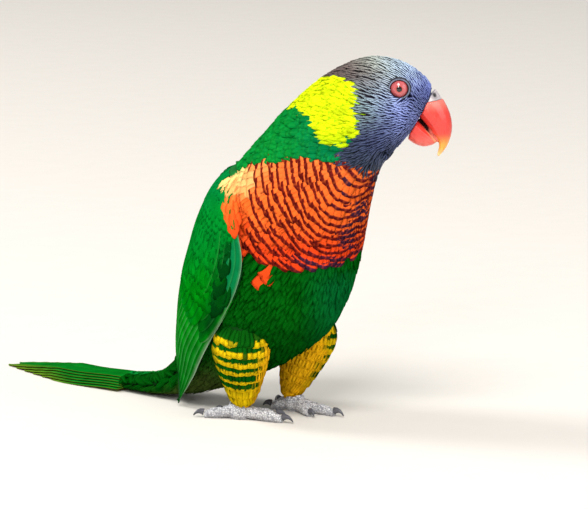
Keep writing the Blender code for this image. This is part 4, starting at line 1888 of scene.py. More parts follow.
@dataclass
class Skin:
    """One skin under the whole coat, with the same fields of colour, darker as painted shade."""

    body: BodyMap
    markings: Markings
    cell: float = 0.85
    sunk: float = 1.5
    face_sunk: float = 0.7
    root_rise: float = 0.3
    head_height: float = 104.0

    def build(self, material: Material) -> Piece:
        """The skin, which stands for the solids of flesh.

        Args:
            material: The skin's material.

        Returns:
            The finished piece.
        """
        nodes = [*BODY_NODES] + [f"{part}_{word}" for part in ("thigh", "wing_coverts") for word in SIDES]
        made = remeshed("skin", nodes, self.cell, 6)
        places = read_corners(made.data)
        line, place = self.body.spots_near(places)
        reach = self.body.shell.reach[line, place] / MM
        sunk = self.face_sunk + (self.sunk - self.face_sunk) * eased(18, 50, reach)
        sunk = sunk - (self.face_sunk + self.root_rise) * eased(5, 2, reach)
        swell(made.data, -sunk[:, None])
        drawn = self.body.drawn[line, place]
        turn = self.body.shell.around(line)
        region = self.markings.region(drawn[:, 0], drawn[:, 1], turn)
        tone = np.zeros((len(places), 3))
        rng = np.random.default_rng(SEED)
        for kind in Region:
            chosen = region == kind.value
            across, up = drawn[chosen].T
            paint = self.markings.paint(kind, across, up, turn[chosen], reach[chosen], rng)
            # Painted shade: the skin takes 0.55 of the feathers' colour, so it shows dark between them.
            tone[chosen] = paint["inner"] * 0.55
        # Painted shade: skin more than 3 mm inside the shell, in clefts and under the wings and thighs, is
        # painted dark green.
        apart = np.linalg.norm(places - self.body.shell.points[line, place], axis=1)
        tone[(apart > 3 * MM) & (places[:, 2] < self.head_height * MM)] = Tone.BELLY_DARK.linear
        set_colours(made.data, "tone", tone)
        return dress(made, material, "plumage_green", nodes)


# ---------------------------------------------------------------- thighs


def curve_between(rows: Array, at: Array) -> Array:
    """Values at fractional rows, on a smooth curve through them.

    Args:
        rows: The rows that the curve goes through.
        at: Fractional row numbers.

    Returns:
        One row of values for each number.
    """
    last = len(rows) - 1
    low = np.minimum(at.astype(int), last - 1)
    ends = (rows[np.clip(low + k, 0, last)] for k in (-1, 0, 1, 2))
    return spline(*ends, (at - low)[:, None])


@dataclass
class Thigh:
    """The barred feathers of one thigh."""

    word: str
    sections: tuple = (
        (13, 3, 46, 8, 9),
        (16, 5.5, 41, 11, 12),
        (17.5, 6.5, 36, 11.5, 12.5),
        (18.8, 6.8, 29, 12, 12.5),
        (17.6, 5.8, 21.5, 10.6, 11),
        (15.6, 4.2, 14, 8.2, 8.4),
        (14.2, 3, 8.5, 6, 6),
        (13.6, 2.4, 5.8, 4.2, 4.2),
    )
    lines: int = 48
    places: int = 60
    sag: float = 3.0
    slimmed: float = 1.1
    bars: Plume = Plume(8.4, 4.4, 4.1, 1.6, 0.25, 1, BARS, 1.5, 0.02, 0.35, 0.5)
    bars_start: float = 3.4
    bars_end: float = 52.0
    middle_turn: float = 135.0

    def build(self, recipe: Recipe, material: Material, body: BVHTree) -> Piece:
        """The thigh's coat.

        Args:
            recipe: The node tree that sets the vanes.
            material: The plumage's finish.
            body: The body's solids, inside which no feather is laid.

        Returns:
            The piece.
        """
        side = SIDES[self.word]
        rng = np.random.default_rng(SEED + side)
        shell, turns = self._shell(side)
        bars = self.bars
        line, place, _ = shell.rows(self.bars_start, self.bars_end, bars.step, bars.space, rng, bars.wave)
        laid = lay(shell, line, place, self.bars, rng)
        keep = (buried(body, laid["tip"]) < 1.0 * MM) & (laid["tip"][:, 2] > 4.5 * MM)
        turn = np.interp(laid["line"] % self.lines, np.arange(self.lines + 1), np.append(turns, 360.0))
        inward = eased(168, 196, turn) * eased(340, 300, turn)
        behind = np.maximum(eased(98, 50, turn), eased(310, 345, turn))
        height = laid["tip"][:, 2] / MM
        foot = eased(13, 8, height)
        lower = eased(27, 15, height) * (1 - foot)
        green = np.tile(Tone.THIGH_GREEN.linear, (len(line), 1))
        # The amber is the thigh's own orange-yellow, made brighter as painted light for the sunlit inner side
        # of the far thigh.
        gold = blend(Tone.THIGH_GOLD, Tone.THIGH_AMBER, np.clip(inward + 0.25 * rng.random(len(line)), 0, 1))
        base = blend(green, gold, np.maximum(inward, foot))
        base = blend(base, Tone.BELLY_DARK, behind * 0.8)
        end = blend(gold, Tone.BELLY_DARK, behind * 0.85)
        off_middle = np.abs(turn - self.middle_turn)
        vee = eased(36, 20, off_middle) * eased(24.5, 27, height - 0.3 * off_middle)
        end = blend(end, green, vee)
        light = 1 + rng.normal(0, 0.03, (len(line), 1))
        band = 0.73 + 0.15 * lower + rng.normal(0, 0.015, len(line))
        inner, outer = np.clip(base * light, 0, 1), np.clip(end * light, 0, 1)
        coat = Coat(f"coat_thigh_{self.word}", "plumage_gold")
        coat.add(laid, keep, painted(inner, outer, base * 0.8, 0.2, band))
        return coat.build(recipe, material, self.bars.loose)

    def _shell(self, side: int) -> tuple:
        """The thigh's surface and the turn of each of its lines from straight behind.

        Args:
            side: 1 for the left and -1 for the right.

        Returns:
            The shell, and the turns in degrees.
        """
        at = np.linspace(0, len(self.sections) - 1, self.places)
        rows = curve_between(np.array(self.sections), at)
        turns = np.arange(self.lines) / self.lines * 360
        angle = np.radians(turns)[:, None]
        core = np.stack([side * rows[:, 0], -rows[:, 1] - BACK_SHIFT, rows[:, 2]], axis=1) * MM
        points = np.zeros((self.lines, self.places, 3))
        points[..., 0] = core[:, 0] + side * (rows[:, 3] - self.slimmed) * np.sin(angle) * MM
        points[..., 1] = core[:, 1] + (rows[:, 4] - self.slimmed) * np.cos(angle) * MM
        points[..., 2] = core[:, 2]
        down = (self.sections[0][2] - rows[:, 2])[None] - self.sag * np.cos(angle - math.radians(135))
        return Shell(points, core, np.maximum(down, 0) * MM + np.arange(self.places) * 1e-7, True), turns


# ---------------------------------------------------------------- wings


@dataclass(frozen=True)
class Quill:
    """A long feather on a folded wing: where it lies across the wing and how far it runs."""

    front: float
    breadth: float
    start: float
    end: float
    level: float
    edge: Tone
    web: Tone
    highlight_cover: float


@dataclass
class Wing:
    """One folded wing: its small coverts, its greater coverts and its flight feathers."""

    word: str
    elevation: Elevation
    markings: Markings
    sections: tuple = (
        (21, 94, 60, 27.5, 27, 66, 42, 8),
        (18.5, 89.5, 63, 31.5, 29.5, 79, 31, 8),
        (15.5, 82.5, 66, 33.8, 31.8, 95, 22, 8),
        (10.5, 72, 69, 34.8, 33.3, 109, 14, 8),
        (6, 60.5, 69, 34.6, 33.8, 111, 9, 8),
        (0, 48.5, 66, 33, 33.2, 108, 6, 7.5),
        (-7.5, 36.5, 61, 29.5, 31, 103, 5, 5.5),
        (-15, 25.5, 58, 25.5, 26.5, 100, 12, 4),
        (-21, 16.5, 60, 22, 21.5, 98, 31, 3),
        (-27, 8.8, 62, 18.5, 14.8, 95, 52, 2.6),
        (-32, 3.4, 64, 15.8, 9, 93, 71, 2),
        (-34.6, 1.7, 66, 14.6, 5, 92, 84, 1),
    )
    lines: int = 37
    places: int = 170
    edge_sunk: float = 1.6
    chest: float = 2.5
    primary_share: float = 0.42
    quill_rows: int = 46
    quill_columns: int = 7
    coverts: tuple = (
        (0.5, 26, Plume(8.6, 5.4, 2.6, 2.1, 0.03, 0.22, ROUNDS, 0.8, 0.015, 0, 0.25)),
        (23, 47, Plume(13, 6.2, 4, 2.6, 0.03, 0.26, ROUNDS, 0.8, 0.015, 0, 0.25)),
    )
    crown_sunk: float = 2.2
    edge_lines: float = 1.3

    def build(self, recipe: Recipe, finishes: dict) -> list:
        """Make the wing.

        Args:
            recipe: The node tree that sets the vanes.
            finishes: Materials by the names of their finishes.

        Returns:
            The finished pieces.
        """
        side = SIDES[self.word]
        shell, run = self._shell(side)
        rng = np.random.default_rng(SEED + 40 + side)
        flight = self._flight(shell, run, rng)
        nodes = [f"wing_secondaries_{self.word}", f"wing_primaries_{self.word}"]
        return [
            self._coverts(shell, recipe, finishes["plumage_satin"], rng),
            dress(flight, finishes["quill"], "plumage_green", nodes),
            dress(self._web(shell), finishes["web"], "plumage_green"),
        ]

    def _shell(self, side: int) -> tuple:
        """The folded wing's outer surface and the run along its middle.

        Args:
            side: 1 for the left and -1 for the right.

        Returns:
            The shell, and the run in metres.
        """
        at = np.linspace(0, len(self.sections) - 1, self.places)
        rows = curve_between(np.array(self.sections, float), at)
        ahead, up, pitch, wide, back, front_turn, back_turn, deep = rows.T
        share = np.linspace(0, 1, self.lines)[:, None]
        angle = np.radians(front_turn + (back_turn - front_turn) * share)
        edge = np.sqrt(np.maximum(4 * share * (1 - share), 0.0))
        sunk = np.minimum(self.edge_sunk, deep * 0.3) * (1 - edge)
        chest = np.where(np.cos(angle) < 0, self.chest, 0.0)
        tilt = np.radians(pitch)
        core = np.stack([np.zeros_like(ahead), -ahead - BACK_SHIFT, up], axis=1) * MM
        out = np.maximum((wide - sunk) * np.sin(angle), 0.15) * MM
        rise = (back + chest - sunk) * np.cos(angle) * MM
        points = core[None] + np.zeros((self.lines, 1, 1))
        points[..., 0] += side * out
        points[..., 1] += rise * np.sin(tilt)
        points[..., 2] += rise * np.cos(tilt)
        points[..., 2] = np.maximum(points[..., 2], 0.4 * MM)
        points = softened(points, 1, False)
        middle = points[self.lines // 2]
        run = np.concatenate([[0], np.cumsum(np.linalg.norm(np.diff(middle, axis=0), axis=1))])
        inward = unit(core[None] - points) * self.crown_sunk * eased(18, 2, run / MM)[None, :, None] * MM
        points = points + inward
        slant = 0.16 * (share - 0.5) * np.minimum(run, 0.05)[None]
        shell = Shell(points, core, run[None] + slant, False)
        shell.flow = unit(shell.by_place)
        return shell, run

    def _coverts(self, shell: Shell, recipe: Recipe, material: Material, rng: Rng) -> Piece:
        """The rows of small rounded feathers over the shoulder and the forearm.

        Args:
            shell: The wing's surface.
            recipe: The tree that sets the feathers.
            material: The feathers' material.
            rng: The random source.

        Returns:
            The finished piece.
        """
        coat = Coat(f"wing_small_coverts_{self.word}", "plumage_green")
        for low, high, plume in self.coverts:
            line, place, _ = shell.rows(low, high, plume.step, plume.space, rng)
            laid = lay(shell, line, place, plume, rng)
            drawn = self.elevation.draw_twin(laid["middle"] * 0.4 + laid["tip"] * 0.6)
            across, up = (drawn + rng.normal(0, 0.3, (len(line), 2))).T
            share = laid["line"] / (self.lines - 1)
            vane = self.markings.paint_wing(across, up)
            lobe = within(self.markings.shoulder, across, up) & (share < 0.6)
            vane = np.where(lobe[:, None], self.markings.paint_shoulder(up), vane)
            vane = np.clip(vane * (1 + rng.normal(0, 0.02, (len(line), 1))), 0, 1)
            far = shell.read(shell.reach, line, place) > 0.012
            fold, tips = self.markings.wing_fold, self.elevation.draw_twin(laid["tip"])
            folded = far & (within(fold, across, up) | within(fold, *tips.T))
            edge = (laid["line"] < self.edge_lines) & far
            coat.add(laid, (~folded | lobe) & ~edge, painted(vane, vane, vane, 0.1, 0.8))
        return coat.build(recipe, material, self.coverts[0][2].loose)

    def _quills(self) -> list:
        """Every long feather of the wing, from the lowest to the one on top.

        Returns:
            One entry for each feather.
        """
        quills = []
        # Each quill's front edge takes a pale line of painted highlight; the rear webs of the secondaries and
        # of the quills over them take WING_SHADE as painted shade where the next one overlaps.
        for k in range(10):
            edge, cover = (Tone.QUILL_EDGE, 0.95) if k == 0 else (Tone.WING_RIM, 0.75)
            front, end, level = self.primary_share * k / 10, 114 - 3.6 * k, -0.75 + 0.05 * k
            quills.append(Quill(front, 0.16, 40.0, end, level, edge, Tone.QUILL_DARK, cover))
        for k in range(10):
            front, end, level = self.primary_share + 0.052 * k, 99 - 2 * k, -0.35 + 0.04 * k
            quills.append(Quill(front, 0.2, 44 - 0.4 * k, end, level, Tone.WING_RIM, Tone.WING_SHADE, 0.5))
        for k in range(5):
            edge, cover = (Tone.QUILL_EDGE, 0.5) if k == 0 else (Tone.WING_RIM, 0.3)
            front, end, level = 0.008 + 0.045 * k, 72 - 4.5 * k, -0.25 + 0.07 * k
            quills.append(Quill(front, 0.1, 8.0, end, level, edge, Tone.WING_SHADE, cover))
        for k in range(14):
            front, end, level = 0.14 + 0.061 * k, 68 - 1.2 * k, -0.1 + 0.02 * k
            quills.append(Quill(front, 0.12, 36.0, end, level, Tone.WING, Tone.WING, 0.1))
        return quills

    def _spread_share(self, front: float, run: Array) -> Array:
        """Where a quill's front edge is across the wing, as the primaries take its whole breadth."""
        widened = 1 + (1 / self.primary_share - 1) * eased(60, 112, run / MM)
        return np.minimum(front * widened, 1.0) if front < self.primary_share else front + 0 * run

    def _flight(self, shell: Shell, run: Array, rng: Rng) -> Piece:
        """The long feathers as closed ribbons that follow the wing.

        Args:
            shell: The wing's surface.
            run: The run along the wing's middle, in metres.
            rng: The random source.

        Returns:
            The piece, not yet dressed.
        """
        quills = self._quills()
        ribbons = Ribbons(f"wing_flight_feathers_{self.word}", len(quills))
        columns = self.quill_columns
        half = self.quill_rows * columns
        across = np.linspace(0, 1, columns) ** 1.6
        for number, quill in enumerate(quills):
            ups = np.linspace(0, 1, self.quill_rows) ** 0.9
            where = (quill.start + (quill.end - quill.start) * ups) * MM
            place = np.interp(where, run, np.arange(len(run)))
            front = self._spread_share(quill.front, where)
            grown = front + quill.breadth
            if quill.front < self.primary_share:
                grown = self._spread_share(quill.front + quill.breadth, where)
            breadth = np.clip(grown - front, 0.04, 0.36)
            taper = np.sqrt(np.maximum(1 - np.clip((ups - 0.82) / 0.18, 0, 1) ** 2.2, 0.004))
            taper = taper * (0.55 + 0.45 * eased(0, 0.12, ups))
            centre = front + breadth * 0.5
            share = centre[:, None] + (across[None] - 0.5) * breadth[:, None] * taper[:, None]
            line = np.clip(share, 0, 1) * (self.lines - 1)
            spread = np.repeat(place[:, None], columns, axis=1)
            points = shell.read(shell.points, line, spread)
            normals = unit(shell.read(shell.normals, line, spread))
            ridge = 0.07 * np.exp(-((across - 0.42) ** 2) / 0.006)
            slope = 0.24 * (0.5 - across)
            barbs = 0.02 * np.sin(ups * 160 + number)[:, None]
            fade = (1 - 0.5 * eased(0.9, 1, ups))[:, None]
            pressed = 0.1 * eased(0.85, 1, ups)[:, None]
            lift = (quill.level + (slope + ridge)[None] * fade + barbs - pressed) * MM
            top = points + normals * lift[..., None]
            low = top - normals * 0.18 * MM
            edge_near = np.exp(-((across - 0.01) ** 2) / 0.0014)
            web = eased(0.4, 0.62, across)
            drawn = self.elevation.draw_twin(top.reshape(-1, 3))
            vane = self.markings.paint_wing(*drawn.T)
            vane = blend(vane, quill.web, np.tile(web, self.quill_rows) * 0.5)
            vane = vane * (1 + rng.normal(0, 0.04))
            begins = 52 if quill.start > 30 else 14
            shown = np.repeat(eased(begins, begins + 12, where / MM), columns)
            # Painted highlight: a pale line along the quill's front edge.
            edge_highlight = np.tile(edge_near, self.quill_rows) * quill.highlight_cover * shown
            tone = blend(vane, quill.edge, edge_highlight)
            tone = np.concatenate([tone, np.tile(Tone.QUILL_DARK.linear, (half, 1))])
            ribbons.add(top, low, ups, across, painted(tone, tone * 0.9, tone * 0.5, 0.3, 0.97))
        return ribbons.build()

    def _web(self, shell: Shell) -> Piece:
        """The closed underlay beneath the long feathers, as thick as the wing's own edge.

        Args:
            shell: The wing's surface.

        Returns:
            The piece, not yet dressed.
        """
        first = int(np.searchsorted(shell.reach[self.lines // 2], 0.034))
        points, normals = shell.points[:, first:], shell.normals[:, first:]
        thin = np.linspace(2.4, 0.9, points.shape[1])[None, :, None] * MM
        top = (points - normals * 0.95 * MM).transpose(1, 0, 2)
        low = (points - normals * (0.95 * MM + thin * 0.5)).transpose(1, 0, 2)
        low[..., 2] = np.maximum(low[..., 2], 0.1 * MM)
        top[..., 2] = np.maximum(top[..., 2], 0.2 * MM)
        rows, columns = top.shape[:2]
        corners = np.concatenate([top.reshape(-1, 3), low.reshape(-1, 3)])
        made = mesh_object(f"wing_web_{self.word}", corners, closed_strip(0, rows, columns, rows * columns))
        set_colours(made.data, "tone", np.tile(Tone.WING_SHADE.linear, (len(corners), 1)))
        return made


def closed_strip(base: int, rows: int, columns: int, under_offset: int) -> list:
    """Faces of a closed plate whose top and underside are grids of corners.

    Args:
        base: The number of its first corner.
        rows: How many rows of corners it has.
        columns: How many corners a row has.
        under_offset: How far the underside's numbers are from the top's.

    Returns:
        The faces.
    """
    faces = []
    for row in range(rows - 1):
        for column in range(columns - 1):
            a = base + row * columns + column
            b, c, d = a + 1, a + columns + 1, a + columns
            faces.append((a, b, c, d))
            faces.append(tuple(corner + under_offset for corner in (d, c, b, a)))
        left, right = base + row * columns, base + row * columns + columns - 1
        faces.append((left, left + columns, left + columns + under_offset, left + under_offset))
        faces.append((right + columns, right, right + under_offset, right + columns + under_offset))
    for column in range(columns - 1):
        a, b = base + column, base + (rows - 1) * columns + column
        faces.append((a + 1, a, a + under_offset, a + 1 + under_offset))
        faces.append((b, b + 1, b + 1 + under_offset, b + under_offset))
    return faces


@dataclass
class Ribbons:
    """Long feathers as closed plates, all with as many rows and columns, in one piece."""

    name: str
    count: int
    corners: list = field(default_factory=list)
    faces: list = field(default_factory=list)
    marks: list = field(default_factory=list)
    spots: list = field(default_factory=list)
    paints: list = field(default_factory=list)

    def add(self, top: Array, low: Array, ups: Array, across: Array, paint: dict) -> None:
        """Take on one feather.

        Args:
            top: The corners of its upper side, by row and column.
            low: Those of its underside.
            ups: How far up the feather each row is.
            across: How far across it each column is.
            paint: The paint of the upper side's corners and then of the underside's.
        """
        rows, columns = top.shape[:2]
        size, number = rows * columns, len(self.corners)
        self.faces += closed_strip(number * 2 * size, rows, columns, size)
        self.corners.append(np.concatenate([top.reshape(-1, 3), low.reshape(-1, 3)]))
        side, up = np.tile(across, 2 * rows), np.tile(np.repeat(ups, columns), 2)
        below = np.repeat([0.0, 1.0], size)
        self.marks.append(np.stack([side * 2 - 1, up, below], axis=1))
        strip = (number + 0.05 + 0.9 * side) / self.count
        self.spots.append(np.stack([0.02 + 0.46 * up + 0.5 * below, strip], axis=1))
        self.paints.append(paint)

    def build(self) -> Piece:
        """The piece, with its faces outward and its marks, paint and unwrap.

        Returns:
            The piece, not yet dressed.
        """
        made = mesh_object(self.name, np.vstack(self.corners), self.faces)
        turn_outward(made)
        mesh = made.data
        parts = {name: np.concatenate([paint[name] for paint in self.paints]) for name in self.paints[0]}
        store(mesh, "vane", "FLOAT_VECTOR", np.vstack(self.marks))
        for name in ("inner", "outer", "shaft"):
            set_colours(mesh, name, np.clip(parts[name], 0, 1))
        store(mesh, "band", "FLOAT", parts["band"])
        loops = np.zeros(len(mesh.loops), np.int32)
        mesh.loops.foreach_get("vertex_index", loops)
        unwrap = mesh.uv_layers.new(name="OFBake")
        unwrap.data.foreach_set("uv", np.vstack(self.spots)[loops].astype(np.float32).ravel())
        return made


# ---------------------------------------------------------------- tail


@dataclass
class Tail:
    """Twelve narrow tail feathers, the middle pair on top."""

    root: float = 76.0
    lowest: float = 38.0
    step: float = 7.2
    pairs: int = 6
    half_width: float = 4.6
    lift: float = 1.2
    pitch: float = 0.8
    rows: int = 40
    columns: int = 7

    def build(self, material: Material) -> Piece:
        """The tail as one piece of closed ribbons.

        Args:
            material: The feathers' material.

        Returns:
            The finished piece.
        """
        ribbons = Ribbons("tail_feathers", self.pairs * 2)
        nodes = [f"tail_feather_{layer + 1}_{word}" for layer in range(self.pairs) for word in SIDES]
        across = np.linspace(0, 1, self.columns)
        for layer in range(self.pairs):
            end = self._end(layer)
            for side in SIDES.values():
                ups = np.linspace(0, 1, self.rows)
                behind = (self.root - 3) + (end - self.root + 3) * ups
                share = np.clip((behind - self.root) / (end - self.root), 0, 1)
                half = self.half_width * np.sqrt(np.maximum(1 - share**4, 0.0)) + 0.2
                outward = self.pairs - 1 - layer
                middle = 1.6 + 1.15 * outward + (0.02 + 0.014 * outward) * (behind - self.root)
                inner = np.maximum(middle - half, 0.1)
                x = side * (inner[:, None] + (middle + half - inner)[:, None] * across[None])
                low = self._height(layer, behind)[:, None] + 0.04
                ridge = 0.1 * np.exp(-((across - 0.45) ** 2) / 0.005) + 0.16 * (1 - (2 * across - 1) ** 2)
                y = np.repeat(behind[:, None], self.columns, 1) - BACK_SHIFT
                top = np.stack([x, y, low + 0.24 + ridge[None] + 0 * x], axis=2)
                bottom = top.copy()
                bottom[..., 2] = low + 0 * x
                up, column = np.repeat(ups, self.columns), np.tile(across, self.rows)
                yellow = 0.35 * eased(0.5, 1, up) * (column * 2 - 1 > 0.1)
                # Painted shade: the feathers' undersides are the tail's yellow at 0.6.
                shaded_under_side = np.tile(Tone.TAIL_YELLOW.linear * 0.6, (len(up), 1))
                tone = np.concatenate([blend(Tone.TAIL, Tone.TAIL_YELLOW, yellow), shaded_under_side])
                ribbons.add(top * MM, bottom * MM, ups, across, painted(tone, tone, tone * 0.4, 0.35, 0.97))
        return dress(ribbons.build(), material, "plumage_green", nodes)

    def _end(self, layer: int) -> float:
        """How far behind a pair of feathers ends, the lowest first."""
        return self.root + self.lowest + self.step * layer

    def _height(self, layer: int, behind: Array) -> Array:
        """The underside of a layer, which sinks to the floor where the ones below it end.

        Args:
            layer: The layer's number, counted from the lowest.
            behind: How far back each spot is, in millimetres.

        Returns:
            The height of each spot, in millimetres.
        """
        height = np.zeros_like(behind)
        for below in range(layer):
            height += self.pitch * (1 - eased(0, 1, (behind - self._end(below)) / self.step))
        return height + self.lift * (1 - eased(0, 1, (behind - self.root) / self.lowest * 1.3))


# ---------------------------------------------------------------- bill, eyes and feet


@dataclass
class Bill:
    """The hooked bill in its two halves, and the bare cere over it."""

    head: HeadFrame
    cell: float = 0.24
    grown: float = 0.18
    mouth_cell: float = 0.3
    mouth_grown: float = 0.65
    mouth_sunk: float = 0.86

    def build(self, finishes: dict) -> list:
        """Make the two halves, the cere and what closes the mouth between them.

        Args:
            finishes: The materials by name.

        Returns:
            The finished pieces.
        """
        pieces = [self._mouth(finishes["web"])]
        for node, paint in (("bill_upper", self._upper), ("bill_lower", self._lower), ("cere", self._cere)):
            made = remeshed(f"{node}_horn" if node != "cere" else "cere_skin", [node], self.cell, 5)
            places = read_corners(made.data)
            local = self.head.local(places)
            if node == "cere":
                move_corners(made.data, self._nostrils(places, local))
            else:
                swell(made.data, self.grown)
            set_colours(made.data, "tone", np.clip(paint(local), 0, 1))
            finish = "cere" if node == "cere" else "horn"
            pieces.append(dress(made, finishes[finish], "cere" if node == "cere" else "bill", [node]))
        return pieces

    def _mouth(self, material: Material) -> Piece:
        """A dark core a little inside both halves, which fills the slit between them as painted shade.

        Args:
            material: The piece's material.

        Returns:
            The finished piece.
        """
        made = remeshed("mouth", ["bill_upper", "bill_lower"], self.mouth_cell, 2)
        swell(made.data, self.mouth_grown)
        made = voxelled(made, self.mouth_cell, 2)
        swell(made.data, -self.mouth_sunk)
        ahead = self.head.local(read_corners(made.data))[:, 0]
        # Painted shade in the slit, turning coral toward the bill's front.
        tone = blend(Tone.GAPE_DARK, Tone.CORAL_PALE, eased(11.2, 12.6, ahead))
        set_colours(made.data, "tone", tone)
        return dress(made, material, "bill")

    @staticmethod
    def _upper(local: Array) -> Array:
        """Coral, paler at the root and the ridge, yellow at the hook's tip.

        Args:
            local: Places in the head's own axes, in millimetres.

        Returns:
            One colour for each place.
        """
        ahead, _, up = local.T
        tone = blend(Tone.CORAL, Tone.CORAL_PALE, eased(-10.5, -6, up) * 0.8)
        tone = blend(tone, Tone.CORAL_DEEP, 0.4 * eased(-8, -16, up) * eased(16, 11, ahead))
        tip = eased(-17.5, -23.5, up)
        tone = blend(tone, Tone.HORN_YELLOW, tip)
        return blend(tone, Tone.HORN_CREAM, eased(-23.5, -27.5, up) * 0.7)

    @staticmethod
    def _lower(local: Array) -> Array:
        """Coral red, with a pale cutting edge and a paler underside.

        Args:
            local: Places in the head's own axes, in millimetres.

        Returns:
            One colour for each place.
        """
        ahead, _, up = local.T
        edge = eased(1.5, 0.2, np.abs(up + 13.0 + (ahead - 8.0) * 1.3))
        tone = blend(Tone.CORAL, Tone.CORAL_PALE, 0.5 * eased(-18, -22, up))
        return blend(tone, Tone.HORN_CREAM, edge * 0.6)

    @staticmethod
    def _cere(local: Array) -> Array:
        """Pale bare skin, darker round the nostrils, with painted shade in the nostrils' hollows.

        Args:
            local: Places in the head's own axes, in millimetres.

        Returns:
            One colour for each place.
        """
        ahead, side, up = local.T
        apart = np.sqrt((ahead - 14.0) ** 2 + (np.abs(side) - 3.1) ** 2 + (up + 3.2) ** 2)
        tone = blend(Tone.CERE, Tone.CERE_DARK, 0.6 * eased(3, 1.4, apart))
        # Painted shade: black in the nostrils' hollows.
        return blend(tone, Tone.PUPIL, eased(1.25, 0.7, apart) * 0.9)

    @staticmethod
    def _nostrils(places: Array, local: Array) -> Array:
        """The cere's corners, pressed in at the nostrils and swollen round them.

        Args:
            places: The corners' places, in metres.
            local: The same in the head's own axes, in millimetres.

        Returns:
            The new places, in metres.
        """
        ahead, side, up = local.T
        apart = np.sqrt((ahead - 14.0) ** 2 + (np.abs(side) - 3.1) ** 2 + (up + 3.2) ** 2)
        middle = places.mean(axis=0)
        outward = unit(places - middle)
        change = 0.25 * np.exp(-((apart - 1.8) ** 2) / 0.4) - 0.7 * np.exp(-(apart**2) / 0.6)
        return places + outward * change[:, None] * MM


